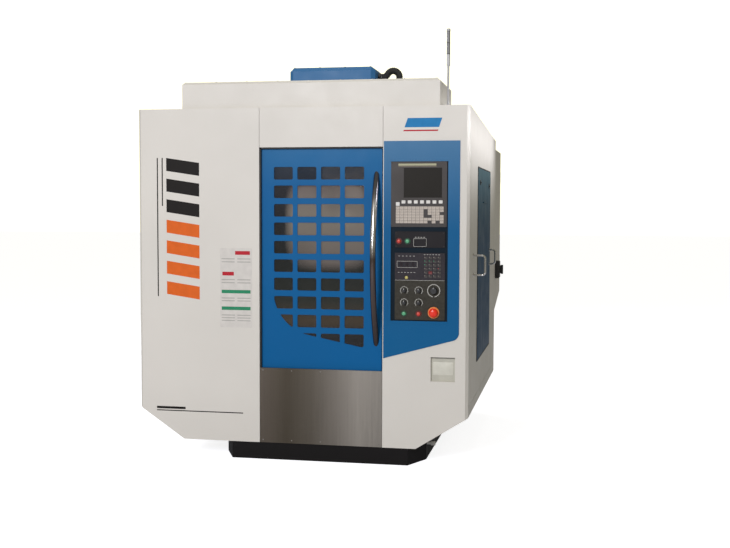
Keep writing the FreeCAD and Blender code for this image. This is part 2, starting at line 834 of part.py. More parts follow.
def spindle_shaft():
    """The spindle: a round shaft with the tool taper in its lower end."""
    top = carriage_high - nose_height - 1
    return turned([(taper_radius, 0), (spindle_radius, 0), (spindle_radius, top), (0, top),
                   (0, taper_length + 40), (taper_small_radius, taper_length + 40),
                   (taper_small_radius, taper_length)], Vec(0, 0, nose_height))


def tool_holder(centre):
    """A tool holder under centre: taper, grooved flange, chuck and end mill in one turning."""
    f = flange_thickness
    g0 = -f / 2 - groove_height / 2
    g1 = -f / 2 + groove_height / 2
    slope = flange_radius - groove_radius
    profile = [(0, taper_length - 1), (taper_small_radius - taper_gap, taper_length - 1),
               (taper_radius - taper_gap, 0), (flange_radius, -taper_gap), (flange_radius, g1 + slope),
               (groove_radius, g1), (groove_radius, g0), (flange_radius, g0 - slope),
               (flange_radius, -f), (chuck_radius, -f), (chuck_radius * 0.9, -f - chuck_length),
               (cutter_radius, -f - chuck_length),
               (cutter_radius, -f - chuck_length - cutter_length),
               (0, -f - chuck_length - cutter_length)]
    return turned(profile, centre)


def spindle_motor():
    """The spindle motor on top of the head: flange, square body with fins, fan cowl."""
    z0 = carriage_high
    h = spindle_motor_height
    s = spindle_motor_size / 2
    body = box(-s, s, -s, s, z0 + 14, z0 + h * 0.78)
    edges = [e for e in body.Edges if abs(e.tangentAt(e.FirstParameter).z) > 0.9]
    body = body.makeChamfer(s * 0.3, edges)
    flange = rod(s + 8, Vec(0, 0, z0), Vec(0, 0, 1), 14)
    neck = rod(s * 0.8, Vec(0, 0, z0 + h * 0.78), Vec(0, 0, 1), h * 0.04)
    cowl = rod(s, Vec(0, 0, z0 + h * 0.82), Vec(0, 0, 1), h * 0.18)
    return fused([body, flange, neck, cowl])


# ---------------------------------------------------------------- tool magazine
def carousel():
    """The tool carousel: a disc with a forked finger at each pocket."""
    z0 = fork_z - carousel_thickness / 2
    disc = rod(carousel_radius, Vec(0, 0, z0), Vec(0, 0, 1), carousel_thickness)
    finger_height = groove_height - 2 * fork_gap
    reach = pocket_radius + 12
    finger = box(carousel_radius - 20, reach, -fork_width - 8, fork_width + 8,
                 fork_z - finger_height / 2, fork_z + finger_height / 2)
    mouth = rod(groove_radius + fork_gap, Vec(pocket_radius, 0, z0), Vec(0, 0, 1),
                carousel_thickness)
    way_out = box(pocket_radius, pocket_radius + 60, -groove_radius - fork_gap,
                  groove_radius + fork_gap, z0, z0 + carousel_thickness)
    fork = finger.cut(mouth).cut(way_out)
    pieces = [disc]
    for i in range(pocket_count):
        copy = fork.copy()
        copy.rotate(Vec(0, 0, 0), Vec(0, 0, 1), 360.0 * i / pocket_count)
        pieces.append(copy)
    hub_low = z0 + carousel_thickness
    hub = rod(hub_radius, Vec(0, 0, hub_low), Vec(0, 0, 1), arm_low - axle_gap - hub_low)
    wheel = fused(pieces + [hub])
    shaft_hole = rod(axle_radius + running_gap, Vec(0, 0, z0), Vec(0, 0, 1), arm_low - z0)
    wheel = wheel.cut(shaft_hole)
    wheel.translate(Vec(carousel_rest_x, 0, 0))
    return wheel


def magazine_tools():
    """Tool holders in two of every three pockets; the pockets at the quarters stay free."""
    tools = []
    quarter = pocket_count // 4
    for i in range(pocket_count):
        if i % quarter == 0:
            continue
        a = 2 * pi * i / pocket_count
        centre = Vec(carousel_rest_x + pocket_radius * cos(a), pocket_radius * sin(a),
                     nose_height)
        tools.append(tool_holder(centre))
    return group(tools)


def magazine_carriage():
    """The carriage: an arm over the carousel, its axle, and a plate on the beam's rails."""
    z0 = arm_low
    z1 = arm_low + arm_thickness
    plate_front = column_front - slide_front
    plate_back = plate_front + slide_thickness
    outline = [(carousel_rest_x - hub_radius, -hub_radius),
               (carousel_rest_x + hub_radius, -hub_radius),
               (carousel_rest_x + hub_radius, hub_radius),
               (plate_right, hub_radius + arm_width), (plate_right, plate_back),
               (plate_right - arm_width, plate_back),
               (plate_right - arm_width, hub_radius)]
    arm = prism_z(outline, z0, z1)
    plate = box(plate_right - slide_width, plate_right, plate_front, plate_back,
                z0, beam_low + beam_height)
    axle = rod(axle_radius, Vec(carousel_rest_x, 0, fork_z - carousel_thickness / 2), Vec(0, 0, 1),
               z0 - fork_z + carousel_thickness / 2 + 2)
    drive = rod(hub_radius * 0.8, Vec(carousel_rest_x, 0, z1), Vec(0, 0, 1), drive_height)
    web = prism_x([(hub_radius + arm_width, z1), (plate_front, z1), (plate_front, z1 + drive_height)],
                  plate_right - arm_width / 2 - 8, plate_right - arm_width / 2 + 8)
    blocks = []
    h = beam_rail_half + block_gap
    for z in magazine_rail_heights():
        for side in (-1, 1):
            x0 = plate_right - (slide_width + slide_block + side * slide_block_spread) / 2
            x1 = x0 + slide_block
            block = box(x0, x1, plate_back, beam_front - clear_gap, z - 2 * h, z + 2 * h)
            slot = box(x0, x1, beam_rail_front - block_gap, beam_front, z - h, z + h)
            blocks.append(block.cut(slot))
    return fused([arm, plate, axle, drive, web] + blocks)


def magazine_beam():
    """The beam on the column's left side that carries the magazine."""
    beam = tube_bar(beam_left, beam_right, beam_front, beam_front + beam_depth, beam_low,
                    beam_low + beam_height, beam_wall)
    foot = box(beam_right, -column_half_width, beam_front, beam_front + beam_depth,
               beam_low - beam_flange_lap, beam_low + beam_height + beam_flange_lap)
    return fused([beam, foot])


def magazine_rail_heights():
    """Heights of the two rails on the magazine beam."""
    edge = beam_wall + 0.9 * beam_rail_height
    return (beam_low + edge, beam_low + beam_height - edge)


def magazine_rails():
    """Two rails along the magazine beam."""
    h = beam_rail_half
    return [box(beam_left, beam_right - beam_wall, beam_rail_front, beam_front, z - h, z + h)
            for z in magazine_rail_heights()]


# ---------------------------------------------------------------- front panels
def left_front_panel():
    """The wide panel left of the door, with its slanted lower corner."""
    outline = [(left + corner_cut_left, panel_bottom), (door_left, panel_bottom),
               (door_left, front_height), (left, front_height), (left, corner_top)]
    return pan_y(outline, front, panel_return, sheet, left, edge_bevel)


def door_header():
    """The panel above the door."""
    outline = [(door_left + seam, door_head), (column_left - seam, door_head),
               (column_left - seam, front_height), (door_left + seam, front_height)]
    return pan_y(outline, front, panel_return, sheet)


def kick_plate():
    """The stainless panel under the door."""
    outline = [(door_left + seam, panel_bottom), (column_left - seam, panel_bottom),
               (column_left - seam, door_sill), (door_left + seam, door_sill)]
    return pan_y(outline, front + 2, panel_return - 2, sheet)


def control_column():
    """The panel right of the door, cut out for the console and the recess."""
    outline = [(column_left, panel_bottom), (right - corner_cut_right, panel_bottom),
               (right, corner_top), (right, front_height), (column_left, front_height)]
    pan = pan_y(outline, front, panel_return, sheet, right, edge_bevel)
    pan = pan.cut(box(console_left, console_right, front - 1, front + sheet + 1,
                      console_low, console_high))
    pan = pan.cut(box(recess_left, recess_left + recess_size, front - 1, front + sheet + 1,
                      recess_low, recess_low + recess_size))
    return pan.fuse(recess_cup()).removeSplitter()


def control_fascia():
    """The coloured plate on the control column, with a slanted lower edge."""
    x0 = column_left + 5
    outline = [(x0, fascia_low_left), (fascia_right, fascia_low_right),
               (fascia_right, fascia_top), (x0, fascia_top)]
    plate = prism_y(outline, front - fascia_sheet, front)
    corner = [e for e in plate.Edges
              if all(abs(v.X - fascia_right) < 0.01 and v.Z < fascia_low_right + 1
                     for v in e.Vertexes)]
    plate = plate.makeFillet(fascia_corner, corner)
    return plate.cut(box(console_left, console_right, front - fascia_sheet - 1, front + 1,
                         console_low, console_high))


def recess_cup():
    """The square recess in the control column: a shallow tray, open to the front."""
    outer = box(recess_left, recess_left + recess_size, front, front + recess_depth,
                recess_low, recess_low + recess_size)
    t = sheet * 0.6
    return outer.cut(box(recess_left + t, recess_left + recess_size - t, front - 1,
                         front + recess_depth - t, recess_low + t,
                         recess_low + recess_size - t))


# ---------------------------------------------------------------- console
def console_box():
    """The steel box behind the console, open at its back, its rim against the column panel."""
    rim = 10.0
    body = box(console_left - rim, console_right + rim, front + sheet, front + console_depth,
               console_low - rim, console_high + rim)
    body = body.cut(box(console_left, console_right, front, unit_seat, console_low,
                        console_high))
    body = body.cut(box(console_left, console_right, unit_seat + 2 * sheet,
                        front + console_depth + 1, console_low, console_high))
    return fused([body, console_frame()])


def unit_hole(unit, gap, y0, y1):
    """The room of a console unit, widened by gap."""
    return box(unit[0] - gap, unit[1] + gap, y0, y1, unit[2] - gap, unit[3] + gap)


def console_frame():
    """The dark frame that fills the console cut-out between its three units."""
    g = button_gap
    plate = box(console_left + g, console_right - g, front - fascia_sheet + console_recess,
                unit_seat, console_low + g, console_high - g)
    for unit in (screen_unit, switch_unit, operator_unit):
        plate = plate.cut(unit_hole(unit, g, front - 50, unit_seat + 50))
    return plate


def unit_plate(unit):
    """A console unit's plate with rounded corners, seated on the console box."""
    return rounded_slab(unit[0], unit[1], unit[2], unit[3], unit_corner,
                        unit_seat - unit_thickness, unit_seat)


def screen_bezel():
    """The screen unit's housing, with the glass pocket and keypad pocket."""
    plate = unit_plate(screen_unit)
    x0, x1, z0, z1 = screen_glass
    plate = plate.cut(box(x0, x1, unit_face, unit_face + glass_seat + glass_thickness, z0, z1))
    kx0, kx1, kz0, kz1 = keypad_area
    return plate.cut(box(kx0, kx1, unit_face, unit_face + mat_thickness, kz0, kz1))


def screen_pane():
    """The screen's glass."""
    x0, x1, z0, z1 = screen_glass
    g = button_gap
    return box(x0 + g, x1 - g, unit_face + glass_seat, unit_face + glass_seat + glass_thickness,
               z0 + g, z1 - g)


def key_grid(x0, x1, z0, z1, columns, rows, gap, y_front, y_back):
    """Rows of keycaps between two corners."""
    px = (x1 - x0) / columns
    pz = (z1 - z0) / rows
    return [box(x0 + i * px + gap, x0 + (i + 1) * px - gap, y_front, y_back,
                z0 + j * pz + gap, z0 + (j + 1) * pz - gap)
            for i in range(columns) for j in range(rows)]


def entry_keypad():
    """The silicone keypad under the screen: a mat with raised keys."""
    kx0, kx1, kz0, kz1 = keypad_area
    g = button_gap
    mat = box(kx0 + g, kx1 - g, unit_face, unit_face + mat_thickness, kz0 + g, kz1 - g)
    m = key_margin
    gap_left, gap_right = [kx0 + (kx1 - kx0) * share for share in keypad_split]
    keys = key_grid(kx0 + m, gap_left, kz0 + m, kz1 - m, 6, 4, key_gap,
                    unit_face - key_height, unit_face)
    keys += key_grid(gap_right, kx1 - m, kz0 + m, kz1 - m, 5, 4, key_gap,
                     unit_face - key_height, unit_face)
    return fused([mat] + keys)


def soft_keys():
    """The row of keys under the screen, one silicone strip each."""
    keys = []
    for i in range(softkey_count):
        x, z = spot_on_console((softkey_inset + i * softkey_pitch, softkey_rise))
        keys.append(box(x - softkey_width / 2, x + softkey_width / 2, unit_face - key_height,
                        unit_face, z - softkey_height / 2, z + softkey_height / 2))
    return group(keys)


def drilled_unit(unit, buttons):
    """A console unit with collars and holes for the buttons that it carries."""
    plate = unit_plate(unit)
    for spot in buttons.values():
        x, z = spot_on_console(spot)
        collar = rod(collar_radius, Vec(x, unit_face - collar_height, z), Vec(0, 1, 0),
                     collar_height + 1)
        hole = rod(button_radius + button_gap, Vec(x, unit_face - collar_height, z),
                   Vec(0, 1, 0), collar_height + button_room)
        plate = plate.fuse(collar).cut(hole)
    return plate


def switch_panel():
    """The narrow unit with the power buttons and a covered port."""
    plate = drilled_unit(switch_unit, switch_buttons)
    port = rounded_slab(*port_cover, 3, unit_face - 3, unit_face)
    return plate.fuse(port).removeSplitter()


def operator_panel():
    """The operator unit: drilled for knobs and buttons, with a raised display frame."""
    plate = drilled_unit(operator_unit, operator_buttons)
    y0 = unit_face - 1
    for x, z in [spot_on_console(spot) for spot in (*knobs.values(), dial_spot)]:
        plate = plate.cut(rod(knob_shaft_radius + running_gap, Vec(x, y0, z), Vec(0, 1, 0),
                              button_room + 1))
    x, z = dial_place
    inner = dial_radius + dial_ring_gap
    ring = rod(inner + dial_ring, Vec(x, unit_face - 1.5, z), Vec(0, 1, 0), 2)
    ring = ring.cut(rod(inner, Vec(x, unit_face - 3, z), Vec(0, 1, 0), 6))
    plate = plate.fuse(ring)
    x, z = estop_place
    collar = rod(estop_radius + 6, Vec(x, unit_face - collar_height, z), Vec(0, 1, 0),
                 collar_height + 1)
    plate = plate.fuse(collar)
    plate = plate.cut(rod(estop_stem_radius + running_gap,
                          Vec(x, unit_face - collar_height - 1, z), Vec(0, 1, 0),
                          collar_height + 1 + button_room))
    fx0, fx1, fz0, fz1 = display_frame
    m = display_rim
    frame = box(fx0, fx1, unit_face - 3, unit_face, fz0, fz1)
    frame = frame.cut(box(fx0 + m, fx1 - m, unit_face - 3, unit_face - 1, fz0 + m, fz1 - m))
    return plate.fuse(frame).removeSplitter()


def mode_keys():
    """The membrane keys at the upper right of the operator unit."""
    return group(key_grid(*mode_key_area, 4, 6, mode_key_gap, unit_face - key_height,
                          unit_face))


def push_button(spot):
    """A push button's plunger, with a slightly rounded cap."""
    x, z = spot_on_console(spot)
    r = button_radius
    y0 = -collar_height - button_travel - 2
    return turned_y([(0, y0), (r - 1.5, y0), (r, y0 + 1.5), (r, button_room - button_travel - 1),
                     (0, button_room - button_travel - 1)], Vec(x, unit_face, z))


def control_knob(spot):
    """A pointer knob on its shaft."""
    x, z = spot_on_console(spot)
    r = knob_radius
    skirt = turned_y([(0, -knob_height), (r * 0.75, -knob_height), (r * 0.8, -5), (r, -4),
                      (r, -0.5), (knob_shaft_radius, -0.5),
                      (knob_shaft_radius, button_room - 1), (0, button_room - 1)],
                     Vec(x, unit_face, z))
    wing = box(x - 3, x + 3, unit_face - knob_height - 4, unit_face - knob_height + 2,
               z - r * 0.7, z + r * 0.9)
    return fused([skirt, wing])


def override_dial():
    """The large dial: a fluted drum on a shaft."""
    x, z = dial_place
    r = dial_radius
    drum = turned_y([(0, -24), (r * 0.82, -24), (r * 0.9, -21), (r * 0.9, -6), (r, -4),
                     (r, -0.5), (knob_shaft_radius, -0.5),
                     (knob_shaft_radius, button_room - 1), (0, button_room - 1)],
                    Vec(x, unit_face, z))
    flutes = 10
    for i in range(flutes):
        a = 2 * pi * i / flutes
        groove = rod(2.2, Vec(x + r * cos(a), unit_face - 25, z + r * sin(a)), Vec(0, 1, 0), 18)
        drum = drum.cut(groove)
    return drum


def emergency_stop():
    """The mushroom button on its stem."""
    x, z = estop_place
    r = estop_radius
    back = -collar_height - estop_travel - 2
    return turned_y([(0, back - 18), (r * 0.55, back - 16.5), (r * 0.9, back - 11), (r, back - 5),
                     (r, back), (estop_stem_radius, back),
                     (estop_stem_radius, button_room - estop_travel - 1),
                     (0, button_room - estop_travel - 1)], Vec(x, unit_face, z))


# ---------------------------------------------------------------- front door
def window_region():
    """The area that the window grid fills: straight, with a curved lower left corner."""
    x0 = window_left - 1
    x1 = window_left + (window_columns - 1) * window_pitch_x + window_width + 1
    z1 = window_top + 1
    bend_x = x0 + 1.5 * window_pitch_x
    bend_z = window_low + window_curve_foot
    curve_top = Vec(x0, 0, window_low + window_curve_rise)
    curve_middle = Vec(x0 + 0.55 * window_pitch_x, 0, window_low + window_curve_middle)
    lines = [Part.makeLine(curve_top, Vec(x0, 0, z1)),
             Part.makeLine(Vec(x0, 0, z1), Vec(x1, 0, z1)),
             Part.makeLine(Vec(x1, 0, z1), Vec(x1, 0, window_low - 4)),
             Part.makeLine(Vec(x1, 0, window_low - 4), Vec(bend_x, 0, bend_z)),
             Part.Arc(Vec(bend_x, 0, bend_z), curve_middle, curve_top).toShape()]
    return Part.Face(Part.Wire(lines))


def window_cuts(y0, y1):
    """The grid of rounded windows, cut off by the region's outline."""
    cuts = []
    for i in range(window_columns):
        for j in range(window_rows):
            x = window_left + i * window_pitch_x
            z = window_top - j * window_pitch_z - window_height
            cuts.append(rounded_slab(x, x + window_width, z, z + window_height,
                                     window_corner, y0, y1))
    region = window_region().extrude(Vec(0, y1 - y0, 0))
    region.translate(Vec(0, y0, 0))
    return [c for cut in cuts for c in cut.common(region).Solids if c.Volume > 1000]


def door_panel():
    """The door: a folded sheet pan, pierced by the window grid."""
    outline = [(door_left - door_lap, door_sill - door_lap),
               (door_right - column_gap, door_sill - door_lap),
               (door_right - column_gap, door_head + door_lap),
               (door_left - door_lap, door_head + door_lap)]
    pan = pan_y(outline, door_face, door_depth, door_sheet)
    return pan.cut(Part.makeCompound(window_cuts(door_face - 1, door_face + door_sheet + 1)))


def door_pane():
    """The smoked pane behind the window grid."""
    m = pane_margin
    x0 = window_left - m
    x1 = window_left + (window_columns - 1) * window_pitch_x + window_width + m
    y0 = door_face + door_sheet
    return box(x0, x1, y0, y0 + pane_thickness, window_low - m, window_top + m)


def door_handle():
    """The bowed handle: a round bar bent to one arc, its ends on the door's face."""
    chord = handle_high - handle_low - 2 * handle_radius
    radius = (chord * chord / 4 + handle_bow * handle_bow) / (2 * handle_bow)
    middle = (handle_high + handle_low) / 2
    centre = Vec(handle_x, door_face - handle_bow + radius, middle)
    half = degrees(asin(chord / 2 / radius)) + 4
    circle = Part.Face(Part.Wire(Part.makeCircle(
        handle_radius, centre + Vec(0, -radius, 0), Vec(0, 0, 1))))
    circle.rotate(centre, Vec(1, 0, 0), -half)
    bar = circle.revolve(centre, Vec(1, 0, 0), 2 * half)
    side = 2 * handle_radius
    behind = box(handle_x - side, handle_x + side, door_face, door_face + 4 * handle_bow,
                 handle_low - handle_bow, handle_high + handle_bow)
    return bar.cut(behind)


def door_rollers():
    """Two hangers with rollers on the door's top edge, running on the upper rail."""
    y0 = door_back
    z = roller_axle_z
    w = hanger_half_width
    hangers = []
    for x in (door_left + hanger_inset, door_right - hanger_inset):
        plate = box(x - w, x + w, y0, y0 + hanger_sheet, door_head + door_lap - 20, z + 14)
        axle = rod(6, Vec(x, y0, z), Vec(0, 1, 0), hanger_sheet + 2 + roller_width)
        wheel = rod(roller_radius, Vec(x, y0 + hanger_sheet + 2, z), Vec(0, 1, 0),
                    roller_width)
        hangers.append(fused([plate, axle, wheel]))
    return group(hangers)


def door_rails():
    """The upper rail that the rollers run on, and the lower guide bar behind the kick plate."""
    x0 = door_left - door_lap - door_travel - 20
    x1 = door_right - 10
    z_top = roller_axle_z - roller_radius - roller_gap
    y1 = liner_front_y - sheet
    upper = box(x0, x1, door_back + hanger_sheet + 1, y1, z_top - door_rail_height, z_top)
    z_low = door_sill - door_lap - 1
    lower = box(x0, x1, door_face + 8, y1, z_low - 10, z_low)
    return [upper, lower]


def guide_rails():
    """All fixed rails: of the bed, the column, the magazine beam and the door."""
    return group(bed_rails() + column_rails() + magazine_rails() + door_rails())


# ---------------------------------------------------------------- enclosure frame


def outline_at(inset, top=front_height):
    """The enclosure's outline in the XZ plane, every side moved inwards by inset."""
    points = []
    for width, x_side, s in ((corner_cut_left, left, 1), (corner_cut_right, right, -1)):
        rise = corner_cut_height / width
        shift = inset * sqrt(1 + rise * rise)
        corner = (x_side + s * inset, corner_top - inset * rise + shift)
        foot = (x_side + s * (corner_cut_height + shift - inset) / rise, panel_bottom + inset)
        points.append((corner, foot))
    (left_corner, left_foot), (right_corner, right_foot) = points
    return [left_foot, right_foot, right_corner, (right - inset, top - inset),
            (left + inset, top - inset), left_corner]


def portal(y0, top):
    """A welded portal inside the panels, standing on the plinth."""
    outer = prism_y(outline_at(sheet, top), y0, y0 + frame_bar)
    inner = prism_y(outline_at(sheet + frame_bar, top), y0, y0 + frame_bar)
    foot = box(plinth_left, plinth_right, y0, y0 + frame_bar, plinth_height,
               plinth_height + frame_bar)
    return fused([outer.cut(inner), foot])


def enclosure_frame():
    """Front and rear portals joined by two long bars along the lower edges."""
    y1 = rear - sheet - frame_bar
    parts = [portal(panel_back, roof_z(panel_back + frame_bar)), portal(y1, roof_z(rear))]
    for x0 in (left + sheet, right - sheet - frame_bar):
        parts.append(box(x0, x0 + frame_bar, panel_back, rear - sheet,
                         corner_top + frame_bar, corner_top + 2 * frame_bar))
    return fused(parts)


# ---------------------------------------------------------------- sides, rear and roof
def above_roof(lift):
    """All room above the roof's underside, raised by lift."""
    y0 = front - 100
    y1 = rear + 100
    far = 2 * front_height
    return prism_x([(y0, roof_z(y0) + lift), (y1, roof_z(y1) + lift), (y1, far), (y0, far)],
                   left - 100, right + 100)


def below_roof(lift):
    """All room below the roof's underside, raised by lift."""
    y0 = front - 100
    y1 = rear + 100
    return prism_x([(y0, roof_z(y0) + lift), (y1, roof_z(y1) + lift), (y1, 0), (y0, 0)],
                   left - 100, right + 100)


def side_panel(side):
    """A side panel in two sheets, both fixed to the frame's long bar: an upper one with the
    service opening, and a skirt folded under along its slanted lower edge.
    side is -1 on the left and 1 on the right."""
    outer = outline_at(0)
    inner = outline_at(sheet)
    corner, foot, top = (2, 1, 3) if side > 0 else (5, 0, 4)
    x = outer[top][0]
    slope = (outer[foot][1] - outer[corner][1]) / (outer[foot][0] - outer[corner][0])
    inner_foot_x = inner[foot][0] + (panel_bottom - inner[foot][1]) / slope
    profile = [outer[top], outer[corner], outer[foot], (inner_foot_x, panel_bottom),
               inner[corner], (inner[top][0], outer[top][1])]
    panel = prism_y(profile, panel_back, rear - sheet).cut(above_roof(0))
    y0 = front + side_cover_front + side_margin
    y1 = front + side_cover_front + side_cover_length - side_margin
    opening = box(x - 10, x + 10, y0, y1, side_cover_low + side_margin,
                  side_cover_high - side_margin)
    joint_z = corner_top + 1.5 * frame_bar
    joint = box(x - 10, x + 10, panel_back, rear - sheet, joint_z - seam / 2, joint_z + seam / 2)
    return group([panel.cut(opening).cut(joint)])


def side_covers():
    """The coloured lift-off covers, one on each side."""
    covers = []
    y0 = front + side_cover_front
    y1 = y0 + side_cover_length
    for x, s in ((right, 1), (left, -1)):
        x1 = x + s * side_cover_sheet
        plate = box(min(x, x1), max(x, x1), y0, y1, side_cover_low, side_cover_high)
        edges = [e for e in plate.Edges if all(abs(v.X - x1) < 0.01 for v in e.Vertexes)]
        covers.append(plate.makeChamfer(side_cover_sheet * 0.6, edges))
    return group(covers)


def u_grip(x, side, y, z0, z1, reach):
    """A bent round bar: two legs out of a panel at x, and a straight grip between them."""
    r = grip_radius
    bend = 3 * r
    parts = []
    for z, turn in ((z0, 1), (z1, -1)):
        parts.append(rod(r, Vec(x, y, z), Vec(side, 0, 0), reach - bend))
        centre = Vec(x + side * (reach - bend), y, z + turn * bend)
        circle = Part.Face(Part.Wire(Part.makeCircle(
            r, Vec(x + side * (reach - bend), y, z), Vec(1, 0, 0))))
        parts.append(circle.revolve(centre, Vec(0, -side * turn, 0), 90))
    parts.append(rod(r, Vec(x + side * reach, y, z0 + bend), Vec(0, 0, 1), z1 - z0 - 2 * bend))
    return fused(parts)


def side_grips():
    """Grips on the side panels and on the lift-off covers."""
    grips = []
    for x, s in ((right, 1), (left, -1)):
        for seat, (setback, low, high, reach) in ((x, front_grip),
                                                  (x + s * side_cover_sheet, rear_grip)):
            grips.append(u_grip(seat, s, front + setback, low, high, reach))
    return group(grips)


def rear_panel():
    """The flat rear sheet."""
    return prism_y(outline_at(0, roof_z(rear)), rear - sheet, rear)


def roof_panel():
    """The sloping roof sheet, open under the motor cover."""
    sheet_body = prism_x([(panel_back, roof_z(panel_back)), (rear, roof_z(rear)),
                          (rear, roof_z(rear) + sheet), (panel_back, roof_z(panel_back) + sheet)],
                         left, right)
    m = cover_margin
    low = roof_z(rear) - 1
    opening = box(cover_left + m, cover_left + cover_width - m, cover_front + m,
                  cover_front + cover_depth - m, low, front_height + 1)
    gland = rod(conduit_radius * 0.9, Vec(conduit_x, conduit_y, low), Vec(0, 0, 1),
                front_height - low)
    return sheet_body.cut(opening).cut(gland)


def hollow_cover(x0, x1, y0, y1, top, bevel, bevelled):
    """A sheet cover standing on the sloping roof, open below. The edges for which
    bevelled(edge, corner box) holds are folded at an angle."""

    def block(inset, leg):
        body = box(x0 + inset, x1 - inset, y0 + inset, y1 - inset, roof_z(rear) - 100 - inset,
                   top - inset)
        return body.makeChamfer(leg, [e for e in body.Edges if bevelled(e, body.BoundBox)])
    inner_leg = bevel - sheet * (2 - sqrt(2))
    return block(0.0, bevel).cut(block(sheet, inner_leg)).cut(below_roof(sheet))


def at_level(edge, axis, value):
    """Whether both ends of an edge have this coordinate."""
    return all(abs(getattr(v, axis) - value) < 0.01 for v in edge.Vertexes)


def roof_hood():
    """The white hood across the front of the roof."""
    top = front_height + hood_height
    y0 = front + hood_setback
    return hollow_cover(hood_left, hood_right, y0, y0 + hood_depth, top, hood_bevel,
                        lambda e, b: at_level(e, "Z", b.ZMax))


def motor_cover():
    """The coloured cover over the spindle motor, bevelled at the top and in front."""

    def bevelled(edge, corners):
        upright = abs(edge.tangentAt(edge.FirstParameter).z) > 0.9
        in_front = at_level(edge, "Y", corners.YMin)
        return at_level(edge, "Z", corners.ZMax) or (in_front and upright)
    shell = hollow_cover(cover_left, cover_left + cover_width, cover_front,
                         cover_front + cover_depth, cover_top, cover_bevel, bevelled)
    hole = rod(conduit_radius * 0.8, Vec(cover_left + cover_width - 20, conduit_y,
                                         conduit_height), Vec(1, 0, 0), 40)
    return shell.cut(hole)


def cable_conduit():
    """The conduit from the motor cover down into the roof, with a gland at each end."""
    r = conduit_radius
    x0 = cover_left + cover_width
    foot = roof_z(conduit_y) + sheet
    level = rod(r, Vec(x0, conduit_y, conduit_height), Vec(1, 0, 0), conduit_reach)
    climb, top = conduit_arc(Vec(x0 + conduit_reach, conduit_y, conduit_height), 0, conduit_lift)
    fall, end = conduit_arc(top, conduit_lift, -90)
    drop = rod(r, Vec(conduit_x, conduit_y, foot - 20), Vec(0, 0, 1), end.z - foot + 20)
    lip = r + gland_lip
    gland_a = rod(lip, Vec(x0, conduit_y, conduit_height), Vec(1, 0, 0), gland_height)
    gland_b = rod(lip, Vec(conduit_x, conduit_y, foot - 20), Vec(0, 0, 1), gland_height + 24)
    return fused([level, climb, fall, drop, gland_a, gland_b]).cut(below_roof(sheet))


def conduit_arc(start, slope, end_slope):
    """An arc of the conduit from one slope to another, in degrees up from +X, and its end."""
    turn = end_slope - slope
    up = Vec(-sin(radians(slope)), 0, cos(radians(slope)))
    along = Vec(cos(radians(slope)), 0, sin(radians(slope)))
    axis = Vec(0, -1 if turn > 0 else 1, 0)
    centre = start + up * (conduit_bend if turn > 0 else -conduit_bend)
    circle = Part.Face(Part.Wire(Part.makeCircle(conduit_radius, start, along)))
    swing = FreeCAD.Rotation(axis, abs(turn))
    return circle.revolve(centre, axis, abs(turn)), centre + swing.multVec(start - centre)


def signal_lamp():
    """The slim lamp column on the roof: foot and pole, pale base, lens, cap."""
    y = front + lamp_setback
    foot_z = roof_z(y) + sheet
    lens_low = lamp_pole_top + lamp_base_height
    cap = lamp_cap
    pole = turned([(0, -20), (4 * lamp_pole_radius, -20), (4 * lamp_pole_radius, 8),
                   (lamp_pole_radius, 12), (lamp_pole_radius, lamp_pole_top - foot_z),
                   (lamp_radius, lamp_pole_top - foot_z), (lamp_radius, lens_low - foot_z),
                   (0, lens_low - foot_z)], Vec(lamp_x, y, foot_z)).cut(below_roof(sheet))
    lens = rod(lamp_radius, Vec(lamp_x, y, lens_low), Vec(0, 0, 1), lamp_top - cap - lens_low)
    top = turned([(0, 0), (lamp_radius + 1, 0), (lamp_radius + 1, cap - 4),
                  (lamp_radius - 3, cap), (0, cap)], Vec(lamp_x, y, lamp_top - cap))
    return group([pole, lens, top])


# ---------------------------------------------------------------- inner liner
def chip_pan(x_wall, side):
    """A sloping chip pan from a side wall down to the bed's shoulder."""
    x_bed = side * bed_half_width
    z_bed = flank_top
    profile = [(x_wall, pan_outer_z), (x_bed, z_bed), (x_bed, z_bed - sheet),
               (x_wall, pan_outer_z - sheet)]
    return prism_y(profile, liner_front_y, liner_back_y)


def chamber_liner():
    """The sheet walls and pans of the work chamber, the front apron and the fixed leaf."""
    t = sheet
    z0 = pan_outer_z - sheet
    y_right = front + console_depth + 20
    foot = bed_height + column_foot_height
    walls = [box(liner_left_x - t, liner_left_x, liner_front_y - t, liner_back_y, z0, liner_top),
             box(liner_right_x, liner_right_x + t, y_right - t, liner_back_y, z0, liner_top),
             box(liner_left_x, door_left - 12, liner_front_y - t, liner_front_y, z0,
                 liner_top),
             box(door_left - 12, jamb_x, liner_front_y - t, liner_front_y,
                 door_head + door_lap, liner_top),
             box(jamb_x, jamb_x + t, panel_back, y_right, z0, liner_top),
             box(jamb_x + t, liner_right_x, y_right - t, y_right, z0, liner_top),
             box(door_left - 12, jamb_x, liner_front_y - t, liner_front_y,
                 bed_height - bed_shoulder_drop, leaf_low + leaf_sheet)]
    for x_wall, s in ((liner_left_x, -1), (liner_right_x, 1)):
        outline = [(x_wall, z0), (s * column_foot_half_width, z0),
                   (s * column_foot_half_width, bed_height),
                   (s * column_half_width, foot), (s * column_half_width, liner_top),
                   (x_wall, liner_top)]
        walls.append(prism_y(outline, liner_back_y, liner_back_y + t))
    pans = [chip_pan(liner_left_x, -1), chip_pan(liner_right_x, 1)]
    return group(walls + pans + [cover_leaf_fixed()])


# ---------------------------------------------------------------- electrical cabinet
def cabinet_hinge_axis():
    """The vertical axis of the cabinet door's hinges."""
    return Vec(cabinet_right - hinge_pin_radius - hinge_wall, cabinet_back + cabinet_leaf / 2, 0)


